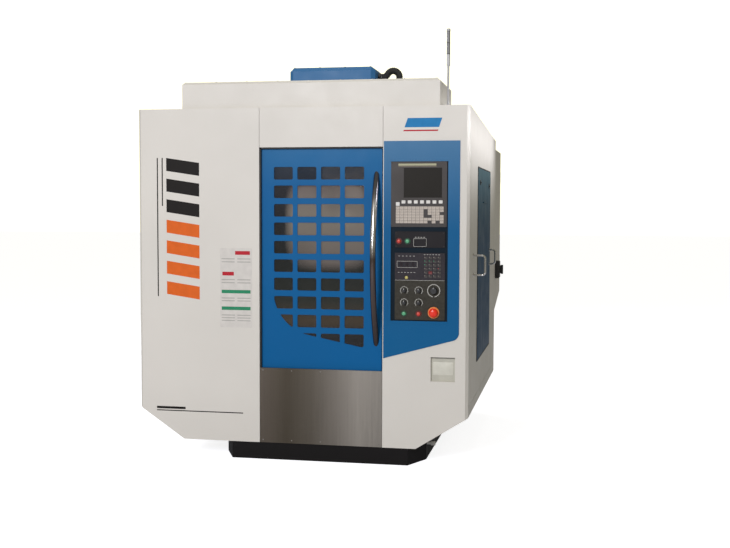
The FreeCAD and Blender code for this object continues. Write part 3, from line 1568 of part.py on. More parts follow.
def electrical_cabinet():
    """The cabinet hung on the rear panel: a shell open to the back, hinge pins, switch box."""
    outer = prism_x([(rear, cabinet_low), (cabinet_back, cabinet_low + cabinet_slant),
                     (cabinet_back, cabinet_high), (rear, cabinet_high)],
                    cabinet_left, cabinet_right)
    w = cabinet_sheet
    inner = prism_x([(rear + w, cabinet_low + 1.1 * w),
                     (cabinet_back + w, cabinet_low + cabinet_slant + 1.1 * w),
                     (cabinet_back + w, cabinet_high - w), (rear + w, cabinet_high - w)],
                    cabinet_left + w, cabinet_right - w)
    shell = outer.cut(inner)
    axis = cabinet_hinge_axis()
    span = cabinet_high - cabinet_low - cabinet_slant
    parts = [shell]
    for share in hinge_heights:
        z = cabinet_low + cabinet_slant + span * share
        lug = box(axis.x - hinge_wall, cabinet_right, cabinet_back,
                  axis.y + hinge_pin_radius, z - hinge_lug, z)
        pin = rod(hinge_pin_radius, Vec(axis.x, axis.y, z - hinge_lug), Vec(0, 0, 1),
                  hinge_lug + hinge_length)
        parts += [lug, pin]
    return fused(parts)


def cabinet_door():
    """The cabinet's door leaf: a folded pan with bored hinge knuckles and a lever boss."""
    axis = cabinet_hinge_axis()
    x0 = cabinet_left
    x1 = axis.x - hinge_pin_radius - hinge_offset
    z0 = cabinet_low + cabinet_slant
    leaf = box(x0, x1, cabinet_back + button_gap, cabinet_back + cabinet_leaf, z0,
               cabinet_high)
    hollow = box(x0 + sheet, x1 - sheet, cabinet_back, cabinet_back + cabinet_leaf - sheet,
                 z0 + sheet, cabinet_high - sheet)
    leaf = leaf.cut(hollow)
    span = cabinet_high - z0
    parts = [leaf]
    bores = []
    for share in hinge_heights:
        z = z0 + span * share + 0.5
        knuckle = rod(hinge_pin_radius + hinge_wall, Vec(axis.x, axis.y, z), Vec(0, 0, 1),
                      hinge_length - 2)
        strap = box(x1 - sheet, axis.x, axis.y - 3, axis.y + 3, z, z + hinge_length - 2)
        parts += [knuckle, strap]
        bores.append(rod(hinge_pin_radius + running_gap, Vec(axis.x, axis.y, z - 1),
                         Vec(0, 0, 1), hinge_length))
    return fused(parts).cut(Part.makeCompound(bores))


def main_switch_box():
    """The main switch's housing on the cabinet's right side, bored for its handle."""
    half_height = switch_box_size / 2
    half_width = switch_box_width / 2
    x0 = cabinet_right
    housing = box(x0, x0 + switch_box_depth, switch_y - half_width, switch_y + half_width,
                  switch_z - half_height, switch_z + half_height)
    edges = [e for e in housing.Edges
             if all(abs(v.X - x0 - switch_box_depth) < 0.01 for v in e.Vertexes)]
    housing = housing.makeChamfer(6, edges)
    return housing.cut(rod(switch_shaft + running_gap, Vec(x0 + 6, switch_y, switch_z),
                           Vec(1, 0, 0), switch_box_depth))


def main_switch_handle():
    """The rotary handle: a disc with a grip bar, on a shaft."""
    x0 = cabinet_right + switch_box_depth
    shaft = rod(switch_shaft, Vec(x0 - 24, switch_y, switch_z), Vec(1, 0, 0), 30)
    disc = rod(switch_disc, Vec(x0 + 0.5, switch_y, switch_z), Vec(1, 0, 0), 8)
    bar = box(x0 + 8, x0 + 24, switch_y - 8, switch_y + 8, switch_z - 34, switch_z + 34)
    edges = [e for e in bar.Edges if abs(e.tangentAt(e.FirstParameter).x) > 0.9]
    return fused([shaft, disc, bar.makeFillet(6, edges)])


# ---------------------------------------------------------------- build
nodes["base_plinth"] = base_plinth()
nodes["bed_casting"] = bed_casting()
nodes["column_casting"] = column_casting()
nodes["guide_rails"] = guide_rails()
nodes["axis_motors"] = group([motor_y(), motor_z()])
nodes["screw_x"] = screw_x()
nodes["screw_y"] = screw_y()
nodes["screw_z"] = screw_z()
nodes["saddle_casting"] = saddle_casting()
nodes["motor_x"] = motor_x()
nodes["work_table"] = work_table()
nodes["cover_leaf_middle"] = cover_leaf_middle()
nodes["head_casting"] = head_casting()
nodes["spindle_motor"] = spindle_motor()
nodes["spindle_shaft"] = spindle_shaft()
nodes["spindle_tool"] = tool_holder(Vec(0, 0, nose_height))
nodes["carousel"] = carousel()
nodes["magazine_tools"] = magazine_tools()
nodes["magazine_carriage"] = magazine_carriage()
nodes["magazine_beam"] = magazine_beam()
nodes["enclosure_frame"] = enclosure_frame()
nodes["left_front_panel"] = left_front_panel()
nodes["door_header"] = door_header()
nodes["kick_plate"] = kick_plate()
nodes["control_column"] = control_column()
nodes["control_fascia"] = control_fascia()
nodes["roof_and_rear_panels"] = group([roof_panel(), rear_panel()])
nodes["roof_hood"] = roof_hood()
nodes["motor_cover"] = motor_cover()
nodes["cable_conduit"] = cable_conduit()
nodes["signal_lamp"] = signal_lamp()
nodes["left_side_panel"] = side_panel(-1)
nodes["right_side_panel"] = side_panel(1)
nodes["side_covers"] = side_covers()
nodes["side_grips"] = side_grips()
nodes["chamber_liner"] = chamber_liner()
nodes["door_panel"] = door_panel()
nodes["door_pane"] = door_pane()
nodes["door_handle"] = door_handle()
nodes["door_rollers"] = door_rollers()
nodes["console_box"] = console_box()
nodes["screen_bezel"] = screen_bezel()
nodes["screen_pane"] = screen_pane()
nodes["keypads"] = group([entry_keypad(), soft_keys(), mode_keys()])
nodes["switch_panel"] = switch_panel()
nodes["operator_panel"] = operator_panel()
for name, spot in {**switch_buttons, **operator_buttons}.items():
    nodes[name] = push_button(spot)
for name, spot in knobs.items():
    nodes[name] = control_knob(spot)
nodes["override_dial"] = override_dial()
nodes["emergency_stop"] = emergency_stop()
nodes["electrical_cabinet"] = electrical_cabinet()
nodes["cabinet_door"] = cabinet_door()
nodes["main_switch_box"] = main_switch_box()
nodes["main_switch_handle"] = main_switch_handle()

for name, shape in nodes.items():
    shape.exportStep("parts/" + name + ".step")
    print(name, len(shape.Solids), round(shape.Volume / 1e6, 3), shape.isValid())
print(len(nodes), "nodes")
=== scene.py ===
# %% [markdown]
# A vertical machining centre stands in a painted sheet-metal enclosure. Its construction is
# already fixed: every panel, casting and button has its place. This file gives each surface its
# finish and adds the small things a maker would miss, such as keycaps and screws, and dark
# strips of painted shadow. Nothing may grow past it.
# The imported model is loaded first.

# %% Load the imported model
import json
import math

import bmesh
import bpy
import numpy as np
from mathutils import Matrix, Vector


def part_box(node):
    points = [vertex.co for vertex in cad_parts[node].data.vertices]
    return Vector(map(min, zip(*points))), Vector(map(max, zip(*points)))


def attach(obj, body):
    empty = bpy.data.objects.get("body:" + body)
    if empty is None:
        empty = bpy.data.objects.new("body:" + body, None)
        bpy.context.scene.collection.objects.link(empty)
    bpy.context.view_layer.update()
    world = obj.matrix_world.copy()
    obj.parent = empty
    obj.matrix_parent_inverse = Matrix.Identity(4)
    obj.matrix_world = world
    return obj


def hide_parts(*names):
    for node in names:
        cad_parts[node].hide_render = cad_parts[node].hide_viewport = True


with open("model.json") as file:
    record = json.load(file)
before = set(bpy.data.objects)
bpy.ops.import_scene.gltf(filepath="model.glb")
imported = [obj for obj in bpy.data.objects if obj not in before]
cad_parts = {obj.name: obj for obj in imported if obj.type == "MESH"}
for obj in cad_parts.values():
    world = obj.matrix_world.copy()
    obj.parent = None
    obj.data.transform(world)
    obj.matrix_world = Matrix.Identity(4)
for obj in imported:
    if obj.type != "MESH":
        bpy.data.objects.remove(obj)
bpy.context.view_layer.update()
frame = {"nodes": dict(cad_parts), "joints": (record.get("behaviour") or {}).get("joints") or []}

nodes = frame["nodes"]

# %% [markdown]
# The camera stands a little above chest height, to the right of the machine, and looks slightly
# down and to the left. Its focal length is a number of image pixels, so it is turned into
# millimetres on a 36 mm sensor. Its three axes are worked out from its angles, in radians.

# %% Camera
image_width_px = 730.0
focal_px = 1100.0
sensor_mm = 36.0
eye = np.array([1.455, -6.920, 1.462])
yaw, pitch, roll = 0.191, -0.058, 0.003


def camera_axes():
    """Right, up and backward of the camera: turned left by yaw, tipped by pitch, then rolled."""
    forward = np.array([-math.sin(yaw) * math.cos(pitch), math.cos(yaw) * math.cos(pitch),
                        math.sin(pitch)])
    level = np.array([math.cos(yaw), math.sin(yaw), 0.0])
    upright = np.cross(level, forward)
    right = level * math.cos(roll) + upright * math.sin(roll)
    up = upright * math.cos(roll) - level * math.sin(roll)
    return right, up, -forward


camera = bpy.data.objects.new("camera", bpy.data.cameras.new("camera"))
bpy.context.scene.collection.objects.link(camera)
camera.data.sensor_width = sensor_mm
camera.data.lens = sensor_mm * focal_px / image_width_px
place = np.eye(4)
place[:3, :3] = np.column_stack(camera_axes())
place[:3, 3] = eye
camera.matrix_world = Matrix(place.tolist())
bpy.context.scene.camera = camera
print("lens", round(camera.data.lens, 2), "mm")

# %% [markdown]
# The studio is plain: a pale floor, a white surround and soft boxes. Seen by the camera, floor
# and surround are nearly white, but they light the machine more weakly, so that the large soft
# box in front gives the light its direction and the right side of the machine falls into shade.
# The Light Path node tells the two apart: one strength is seen, and another is cast. The
# surround's tone is a little warm, as a workshop's walls are, and is seen so strongly that the
# picture shows it as white.

# %% Floor and surround
surround_seen, surround_cast, surround_tone = 1.4, 0.255, (1.02, 0.985, 0.75)
floor_seen, floor_cast, floor_tone = 0.84, 0.11, (0.585, 0.590, 0.680)
floor_half, floor_drop = 60.0, 0.001


def seen_or_cast(tree, seen, cast):
    """A strength with one value for what the camera sees and another for the light it casts."""
    path = tree.nodes.new("ShaderNodeLightPath")
    span = tree.nodes.new("ShaderNodeMapRange")
    span.inputs["To Min"].default_value = cast
    span.inputs["To Max"].default_value = seen
    tree.links.new(path.outputs["Is Camera Ray"], span.inputs["Value"])
    return span.outputs["Result"]


def lay_floor():
    """A square floor around the machine, a little below its plinth."""
    corners = floor_half * np.array([[-1, -1], [1, -1], [1, 1], [-1, 1]])
    mesh = bpy.data.meshes.new("floor")
    mesh.from_pydata([(x, y, -floor_drop) for x, y in corners], [], [(0, 1, 2, 3)])
    floor = bpy.data.objects.new("floor", mesh)
    bpy.context.scene.collection.objects.link(floor)
    paper = bpy.data.materials.new("floor_paper")
    paper.use_nodes = True
    shader = paper.node_tree.nodes["Principled BSDF"]
    shader.inputs["Base Color"].default_value = (*floor_tone, 1.0)
    shader.inputs["Roughness"].default_value = 0.9
    shader.inputs["Emission Color"].default_value = (1.0, 1.0, 1.0, 1.0)
    glow = seen_or_cast(paper.node_tree, floor_seen, floor_cast)
    paper.node_tree.links.new(glow, shader.inputs["Emission Strength"])
    mesh.materials.append(paper)


def light_surround():
    """A surround with one brightness for the picture's background and another as a light."""
    world = bpy.data.worlds.new("surround")
    world.use_nodes = True
    back = world.node_tree.nodes["Background"]
    back.inputs["Color"].default_value = (*surround_tone, 1.0)
    strength = seen_or_cast(world.node_tree, surround_seen, surround_cast)
    world.node_tree.links.new(strength, back.inputs["Strength"])
    bpy.context.scene.world = world


light_surround()
lay_floor()
bpy.context.scene.view_settings.view_transform = "Standard"
print("floor and surround laid")

# %% [markdown]
# Five soft boxes light the machine. The front one is the strongest and a little cool. One above
# and one behind keep the roof and the back readable, a long narrow one beside the right panel
# draws the glare along its top, and a small warm one works inside the chamber.

# %% Soft boxes
lights = {  # place and target, width and height in metres, watts, colour, spread in degrees
    "front_box": ((-1.8, -9.5, 4.2), (0.0, -0.7, 1.0), 2.2, 2.4, 538.0, (1.0, 1.0, 1.055), 180.0),
    "top_box": ((0.0, -0.5, 6.0), (0.0, 0.0, 1.5), 3.0, 3.0, 45.0, (1.0, 1.0, 1.0), 180.0),
    "rear_box": ((-3.6, 5.4, 3.8), (-0.3, 0.6, 1.2), 3.0, 2.4, 210.0, (1.0, 1.0, 1.0), 180.0),
    "side_box": ((1.34, 0.02, 2.03), (0.86, 0.02, 1.88), 2.0, 0.2, 3.6, (1.0, 1.0, 1.08), 80.0),
    "work_light": ((0.15, -0.60, 1.72), (0.05, 0.6, 1.20), 0.5, 0.1, 2.6, (1.0, 0.86, 0.72), 110.0)}


def soft_box(name, position, target, width, height, watts, colour, spread):
    """A rectangular area light that faces a target point. Its back is the unit vector from the
    target to its place, and its side is level: the cross product of the vertical and the back."""
    lamp = bpy.data.lights.new(name, "AREA")
    lamp.shape = "RECTANGLE"
    lamp.size, lamp.size_y = width, height
    lamp.energy = watts
    lamp.color = colour
    lamp.spread = math.radians(spread)
    box = bpy.data.objects.new(name, lamp)
    box.visible_camera = False
    bpy.context.scene.collection.objects.link(box)
    back = np.array(position, float) - np.array(target, float)
    back /= np.linalg.norm(back)
    side = np.cross((0.0, 0.0, 1.0), back)
    side /= np.linalg.norm(side)
    turn = np.eye(4)
    turn[:3, :3] = np.column_stack([side, np.cross(back, side), back])
    turn[:3, 3] = position
    box.matrix_world = Matrix(turn.tolist())


for name, settings in lights.items():
    soft_box(name, *settings)
print(len(lights), "soft boxes")

# %% [markdown]
# Every finish is a small network of procedural nodes around one Principled shader. A constant,
# such as the metal share, sits on the shader itself. Noise on Object coordinates drives what
# varies: tone, gloss and the tiny relief of paint, brushing or casting. Noise mostly keeps
# between 0.3 and 0.7, so a finish runs from one look to the other over that range. A helper
# keeps the recipes short, and reads like a list of what the finish does.

# %% Finish helper
noise_low, noise_high = 0.3, 0.7


class Finish:
    """A material under construction, with its node tree and its one shader."""

    def __init__(self, name, roughness, metallic=0.0, **sockets):
        self.material = bpy.data.materials.new(name)
        self.material.use_nodes = True
        self.tree = self.material.node_tree
        self.shader = self.tree.nodes["Principled BSDF"]
        self.shader.inputs["Roughness"].default_value = roughness
        self.shader.inputs["Metallic"].default_value = metallic
        for socket, value in sockets.items():
            self.shader.inputs[socket.replace("_", " ")].default_value = value
        self.place = self.tree.nodes.new("ShaderNodeTexCoord").outputs["Object"]

    def node(self, kind, links=(), **settings):
        """A node of this kind with its settings, fed by (socket, source) links."""
        made = self.tree.nodes.new("ShaderNode" + kind)
        for key, value in settings.items():
            socket = key.replace("_", " ")
            if socket in made.inputs:
                made.inputs[socket].default_value = value
            else:
                setattr(made, key, value)
        for socket, source in links:
            self.tree.links.new(source, made.inputs[socket])
        return made

    def feed(self, socket, value):
        """A plain number is set on a socket, and a source is linked to it."""
        if isinstance(value, float):
            socket.default_value = value
        else:
            self.tree.links.new(value, socket)

    def grain(self, scale, stretch=(1.0, 1.0, 1.0), detail=3.0):
        """Noise over the piece, finer for a larger scale, drawn out where stretch is small."""
        spread = self.node("Mapping", [("Vector", self.place)], Scale=stretch)
        noise = self.node("TexNoise", [("Vector", spread.outputs[0])], Scale=scale,
                          Detail=detail)
        return noise.outputs["Fac"]

    def ranged(self, source, low, high, start=noise_low, end=noise_high):
        """A value that runs from low to high as the source runs from start to end."""
        span = self.node("MapRange", [("Value", source)], From_Min=start, From_Max=end,
                         To_Min=low, To_Max=high)
        return span.outputs["Result"]

    def along(self, axis, start, end, low=0.0, high=1.0):
        """A value that runs from low to high between two places (metres) on an axis."""
        apart = self.node("SeparateXYZ", [("Vector", self.place)])
        return self.ranged(apart.outputs[axis], low, high, start, end)

    def maths(self, operation, first, second):
        """The result of one sum on two sources or numbers."""
        made = self.node("Math", operation=operation)
        self.feed(made.inputs[0], first)
        self.feed(made.inputs[1], second)
        return made.outputs[0]

    def colour(self, source, stops):
        """A colour ramp over a source: stops are (position, colour)."""
        ramp = self.node("ValToRGB", [("Fac", source)])
        elements = ramp.color_ramp.elements
        while len(elements) < len(stops):
            elements.new(0.5)
        for element, (position, _) in zip(elements, stops):
            element.position = position
        for element, (_, colour) in zip(elements, stops):
            element.color = (*colour, 1.0)
        return ramp.outputs["Color"]

    def drift(self, source, dark, light):
        """A colour that drifts from dark to light with a noise."""
        return self.colour(source, ((noise_low, dark), (noise_high, light)))

    def mixed(self, factor, first, second, blend_type="MIX"):
        """Two colours mixed by a factor, a number or a source."""
        mix = self.node("Mix", data_type="RGBA", blend_type=blend_type)
        self.feed(mix.inputs[0], factor)
        self.tree.links.new(first, mix.inputs[6])
        self.tree.links.new(second, mix.inputs[7])
        return mix.outputs[2]

    def base(self, colour):
        """Feeds a colour to the shader."""
        self.tree.links.new(colour, self.shader.inputs["Base Color"])

    def tone(self, source, dark, light):
        """The base colour drifts from dark to light with a noise."""
        self.base(self.drift(source, dark, light))

    def gloss(self, source, low, high):
        """Roughness runs from low to high with the source."""
        self.tree.links.new(self.ranged(source, low, high), self.shader.inputs["Roughness"])

    def relief(self, source, depth, strength):
        """A bump of this depth in metres."""
        bump = self.node("Bump", [("Height", source)], Distance=depth, Strength=strength)
        self.tree.links.new(bump.outputs["Normal"], self.shader.inputs["Normal"])


def shade(colour, factor):
    """A colour made darker or lighter by a factor."""
    return tuple(min(1.0, channel * factor) for channel in colour)


print("finish helper ready")

# %% [markdown]
# The enclosure is powder coated. Close up the coat has a fine orange peel, and from a step away
# its tone drifts a little. One recipe serves every coated colour. Coloured coats are given a low
# reflectance, because a saturated paint that mirrored the white room would look washed out.

# %% Powder coat
coat_drift, gloss_drift, peel_depth = (0.965, 1.03), (-0.05, 0.07), 0.00012


def powder_coat(name, colour, roughness, sheen, lower=None, heights=()):
    """Orange-peel relief from fine noise, and a slow drift of tone from coarse noise. With a lower
    colour, the tone also runs from that at heights[0] to the main one at heights[1]: a painted
    highlight that makes the top of the coat lighter."""
    coat = Finish(name, roughness, Specular_IOR_Level=sheen)
    slow = coat.grain(1.6, detail=2.0)
    tones = [coat.drift(slow, *[shade(main, factor) for factor in coat_drift])
             for main in (lower, colour) if main is not None]
    coat.base(coat.mixed(coat.along("Z", *heights), *tones) if lower else tones[0])
    coat.gloss(coat.grain(9.0), *[roughness + change for change in gloss_drift])
    coat.relief(coat.grain(420.0, detail=1.0), peel_depth, 0.35)
    return coat.material


warm_white = powder_coat("warm_white_coat", (0.655, 0.625, 0.572), 0.42, 0.28)
# Painted highlight: the door's top is lighter, from 1.60 m up to 1.86 m.
door_blue = powder_coat("door_blue_coat", (0.016, 0.138, 0.320), 0.38, 0.10,
                        (0.002, 0.104, 0.288), (1.60, 1.86))
# Painted reflection: the fascia grows lighter from 1.35 m up to 1.85 m.
fascia_blue = powder_coat("fascia_blue_coat", (0.058, 0.172, 0.325), 0.38, 0.10,
                          (0.005, 0.104, 0.262), (1.35, 1.85))
cover_blue = powder_coat("cover_blue_coat", (0.034, 0.148, 0.340), 0.45, 0.20)
# Painted shade: a darker, greyer blue on the side covers, with a painted highlight at their top.
shaded_side_blue = powder_coat("side_blue_coat", (0.055, 0.108, 0.130), 0.45, 0.08,
                        (0.003, 0.052, 0.126), (1.25, 1.70))
base_black = powder_coat("base_black_coat", (0.008, 0.007, 0.007), 0.55, 0.12)
console_dark = powder_coat("console_dark_coat", (0.052, 0.046, 0.044), 0.48, 0.25)
console_rim = powder_coat("console_rim_coat", (0.003, 0.011, 0.020), 0.50, 0.10)
switch_dark = powder_coat("switch_unit_coat", (0.013, 0.011, 0.013), 0.48, 0.15)
print("powder coats made")

# %% [markdown]
# The operator unit carries a printed front foil: a bluish dark field above, for the lamps and
# the display, and an olive one below, round the knobs. Both lie on the same plate, so the colour
# changes with height at the printed line between them.

# %% Operator foil
foil_line, line_half = 1.066, 0.0005


def operator_foil():
    """Two flat tones that meet within a millimetre at the printed line, with a faint grain."""
    foil = Finish("operator_foil", 0.46, Specular_IOR_Level=0.15)
    grain = foil.grain(60.0)
    upper = foil.drift(grain, (0.026, 0.022, 0.027), (0.034, 0.029, 0.035))
    under = foil.drift(grain, (0.032, 0.029, 0.021), (0.046, 0.042, 0.032))
    foil.base(foil.mixed(foil.along("Z", foil_line - line_half, foil_line + line_half),
                         under, upper))
    foil.relief(foil.grain(900.0, detail=1.0), 0.00005, 0.3)
    return foil.material


foil = operator_foil()
print("foil changes colour at", foil_line, "m")

# %% [markdown]
# Stainless sheet is brushed one way, so its noise is drawn out along the brushing. The kick
# plate's colour carries painted reflections of the room as broad soft bands, darkest left of its
# middle. Ground ways and screws are brighter and finer, and the chamber's sheet is duller.

# %% Brushed and ground metal
def brushed(name, dark, light, stretch, roughness):
    """Streaks from noise drawn out along the brushing drive tone, gloss and relief."""
    metal = Finish(name, 0.35, 1.0)
    streaks = metal.grain(60.0, stretch, detail=6.0)
    metal.tone(streaks, dark, light)
    metal.gloss(streaks, *roughness)
    metal.relief(streaks, 0.00004, 0.5)
    return metal.material


def kick_plate_steel():
    """Brushed steel with painted reflections: broad bands as a colour ramp along the plate's width.
    """
    steel = Finish("kick_plate_steel", 0.4, 0.85)
    streaks = steel.grain(60.0, (3.0, 3.0, 0.05), detail=4.0)
    # Painted reflection: broad bands along the plate's width.
    painted_reflection_bands = steel.colour(steel.along("X", -0.36, 0.364),
                         ((0.0, (0.120, 0.100, 0.080)), (0.22, (0.075, 0.062, 0.045)),
                          (0.42, (0.110, 0.095, 0.075)), (0.62, (0.190, 0.170, 0.145)),
                          (0.80, (0.300, 0.275, 0.240)), (1.0, (0.260, 0.240, 0.210))))
    fine = steel.drift(streaks, (0.90, 0.90, 0.90), (1.0, 1.0, 1.0))
    steel.base(steel.mixed(1.0, painted_reflection_bands, fine, "MULTIPLY"))
    steel.gloss(streaks, 0.38, 0.5)
    return steel.material


kick_steel = kick_plate_steel()
upright, lengthwise, even = (3.0, 3.0, 0.1), (0.08, 3.0, 3.0), (2.0, 2.0, 2.0)
liner_steel = brushed("chamber_steel", (0.42, 0.39, 0.35), (0.54, 0.50, 0.45), upright, (0.35, 0.5))
ground_steel = brushed("ground_steel", (0.50, 0.50, 0.49), (0.66, 0.66, 0.65),
                       lengthwise, (0.2, 0.32))
table_steel = brushed("table_steel", (0.30, 0.30, 0.29), (0.44, 0.44, 0.43),
                      lengthwise, (0.25, 0.4))
zinc = brushed("zinc_screws", (0.45, 0.45, 0.44), (0.60, 0.60, 0.59), even, (0.3, 0.4))
black_oxide = brushed("black_oxide", (0.030, 0.030, 0.032), (0.060, 0.060, 0.062),
                      even, (0.35, 0.5))
dull_steel = brushed("dull_screws", (0.20, 0.19, 0.17), (0.28, 0.26, 0.24), even, (0.4, 0.5))
print("metals made")

# %% [markdown]
# Castings are painted over a sand-rough skin. Chrome is nearly a mirror with faint haze, and
# plastic and rubber differ mostly in gloss.

# %% Castings, chrome, plastic and rubber
def cast_paint(name, colour):
    """Paint on a rough casting: lumps of two sizes in the relief."""
    cast = Finish(name, 0.5)
    cast.tone(cast.grain(3.0), shade(colour, 0.9), shade(colour, 1.06))
    cast.relief(cast.grain(90.0, detail=4.0), 0.0006, 0.4)
    return cast.material


def plastic(name, colour, roughness=0.35, grain=300.0, **sockets):
    """Moulded plastic: an even colour with a faint spark-eroded grain."""
    made = Finish(name, roughness, **sockets)
    made.tone(made.grain(25.0), shade(colour, 0.94), shade(colour, 1.05))
    made.relief(made.grain(grain, detail=2.0), 0.00008, 0.3)
    return made.material


def polished(name, colour, roughness):
    """Polished plate: faint haze that drifts along the part."""
    bright = Finish(name, roughness, 1.0)
    bright.tone(bright.grain(6.0), shade(colour, 0.93), colour)
    bright.gloss(bright.grain(14.0), roughness, roughness + 0.06)
    return bright.material


def lit(name, colour, glow):
    """A lamp's lens: coloured plastic that glows a little."""
    lens = Finish(name, 0.25, Emission_Color=(*colour, 1.0), Emission_Strength=glow)
    lens.tone(lens.grain(200.0), shade(colour, 0.85), colour)
    return lens.material


machine_grey = cast_paint("machine_grey_paint", (0.50, 0.49, 0.44))
column_grey = cast_paint("column_grey_paint", (0.34, 0.35, 0.33))
motor_black = cast_paint("motor_black_paint", (0.02, 0.02, 0.022))


def handle_chrome():
    """Chrome with a painted reflection: a bright band above mid-height, dark below and at the top.
    """
    chrome = Finish("handle_chrome", 0.12, 1.0)
    # Painted reflection of the front soft box as a band along the handle's height.
    painted_reflection_ramp = chrome.colour(chrome.along("Z", 0.68, 1.69),
                         ((0.0, (0.085, 0.070, 0.066)), (0.50, (0.150, 0.120, 0.110)),
                          (0.58, (0.62, 0.60, 0.59)), (0.80, (0.70, 0.68, 0.67)),
                          (0.87, (0.24, 0.23, 0.26)), (1.0, (0.16, 0.155, 0.19))))
    haze = chrome.drift(chrome.grain(9.0), (0.9, 0.9, 0.9), (1.0, 1.0, 1.0))
    chrome.base(chrome.mixed(1.0, painted_reflection_ramp, haze, "MULTIPLY"))
    chrome.gloss(chrome.grain(14.0), 0.18, 0.26)
    return chrome.material


chrome = handle_chrome()
bright_steel = polished("grip_steel", (0.62, 0.61, 0.59), 0.16)
black_plastic = plastic("black_plastic", (0.016, 0.016, 0.017))
red_plastic = plastic("red_plastic", (0.60, 0.050, 0.030), 0.3)
stop_red = plastic("stop_red_plastic", (0.80, 0.030, 0.010), 0.28)
stop_orange = plastic("stop_orange_plastic", (0.90, 0.260, 0.060), 0.3)
green_plastic = plastic("green_plastic", (0.10, 0.40, 0.20), 0.3)
dark_red = plastic("dark_red_plastic", (0.16, 0.010, 0.010), 0.35)
dark_green = plastic("dark_green_plastic", (0.005, 0.075, 0.030), 0.35)
cap_white = plastic("cap_white_plastic", (0.66, 0.64, 0.60), 0.45)
key_cream = plastic("key_cream_plastic", (0.48, 0.42, 0.36), 0.5)
mat_grey = plastic("key_mat_plastic", (0.27, 0.24, 0.215), 0.55)
print_pale = plastic("print_pale", (0.50, 0.49, 0.45), 0.5)
print_dark = plastic("print_dark", (0.06, 0.055, 0.05), 0.5)
strip_yellow = plastic("strip_yellow", (0.33, 0.32, 0.18), 0.4)
strip_olive = plastic("strip_olive", (0.075, 0.052, 0.022), 0.4)
rubber = plastic("black_rubber", (0.018, 0.018, 0.018), 0.7, 500.0)
lamp_yellow = lit("lamp_yellow", (0.46, 0.40, 0.12), 0.1)
lamp_green = lit("lamp_green", (0.05, 0.35, 0.18), 0.1)
lamp_red = lit("lamp_red", (0.50, 0.06, 0.07), 0.15)
lamp_tube = lit("lamp_tube", (1.0, 0.93, 0.80), 0.35)
print("plastics made")

# %% [markdown]
# The door's pane is smoked polycarbonate. Part of the light passes straight through, which the
# shader's Alpha does without losing the lamp inside the chamber, and the rest is a dark gloss.
# A beige patch of painted light lies on the middle of the pane: it fades out at the left, above
# the second row of windows and below the sixth. The smoked tint also changes with height. The
# screen is a dark glass with a matt coat. The lamp column is one imported node with a pole, a pale
# foot, a lens and a cap, so its finish changes with height.

# %% Panes and lamp column
def pane_with_painted_light():
    """Smoked tint, whose tone changes with height, under a patch of painted light. With u and v the
    places across and up the pane, counted from the patch's middle in half widths and half heights,
    the patch ends softly where the fourth powers of u and v add up to 1, and it stops at a level
    edge above."""
    glass = Finish("smoked_pane", 0.14, Alpha=0.82, IOR=1.5, Specular_IOR_Level=0.2)
    tint = glass.colour(glass.along("Z", 0.62, 1.72), (
        (0.10, (0.020, 0.020, 0.020)), (0.18, (0.066, 0.049, 0.031)),
        (0.29, (0.030, 0.033, 0.028)), (0.5, (0.022, 0.024, 0.023)),
        (0.9, (0.024, 0.025, 0.031)), (0.95, (0.018, 0.026, 0.042))))
    # Painted light: the beige colour of the patch on the pane.
    film = glass.colour(glass.along("Z", 1.10, 1.62), (
        (0.0, (0.140, 0.120, 0.110)), (0.3, (0.185, 0.160, 0.138)),
        (0.6, (0.225, 0.200, 0.167)), (0.85, (0.205, 0.176, 0.158)),
        (1.0, (0.165, 0.130, 0.125))))
    ragged = glass.ranged(glass.grain(5.0, (1.0, 1.0, 0.5), 1.0), 0.6, 1.2)
    reach, fourth = 2.0, []
    for axis, middle, half in (("X", 0.045, 0.245), ("Z", 1.385, 0.26)):
        place = glass.along(axis, middle - reach * half, middle + reach * half, -reach, reach)
        fourth.append(glass.maths("POWER", place, 4.0))
    inside = glass.ranged(glass.maths("ADD", *fourth), 1.0, 0.0, 0.55, 1.35)
    # Where the painted light lies: inside the soft outline and below the level edge.
    painted_light_mask = glass.maths("MULTIPLY", glass.maths("MULTIPLY", ragged, inside),
                        glass.along("Z", 1.590, 1.620, 1.0, 0.0))
    glass.base(glass.mixed(painted_light_mask, tint, film))
    glass.gloss(glass.grain(7.0, (1.0, 1.0, 0.25)), 0.12, 0.22)
    return glass.material


def screen_glass():
    """A dark display glass with a matt coat and faint wipe marks."""
    glass = Finish("screen_glass", 0.35, Specular_IOR_Level=0.08)
    glass.tone(glass.grain(2.0), (0.017, 0.015, 0.012), (0.022, 0.019, 0.016))
    glass.gloss(glass.grain(7.0, (1.0, 1.0, 0.25)), 0.35, 0.43)
    return glass.material


def lamp_column():
    """Bands of colour up the column, from the pole to the cap."""
    column = Finish("lamp_column", 0.3)
    column.base(column.colour(column.along("Z", 2.05, 2.5), (
        (0.0, (0.42, 0.42, 0.43)), (0.51, (0.42, 0.42, 0.43)), (0.515, (0.50, 0.50, 0.51)),
        (0.66, (0.50, 0.50, 0.51)), (0.665, (0.20, 0.20, 0.21)), (0.945, (0.20, 0.20, 0.21)),
        (0.95, (0.45, 0.45, 0.45)))))
    column.gloss(column.grain(20.0), 0.25, 0.35)
    return column.material


smoked = pane_with_painted_light()
screen_dark = screen_glass()
lamp_grey = lamp_column()
print("panes and lamp column made")

# %% [markdown]
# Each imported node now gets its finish. A group of nodes shares a line.

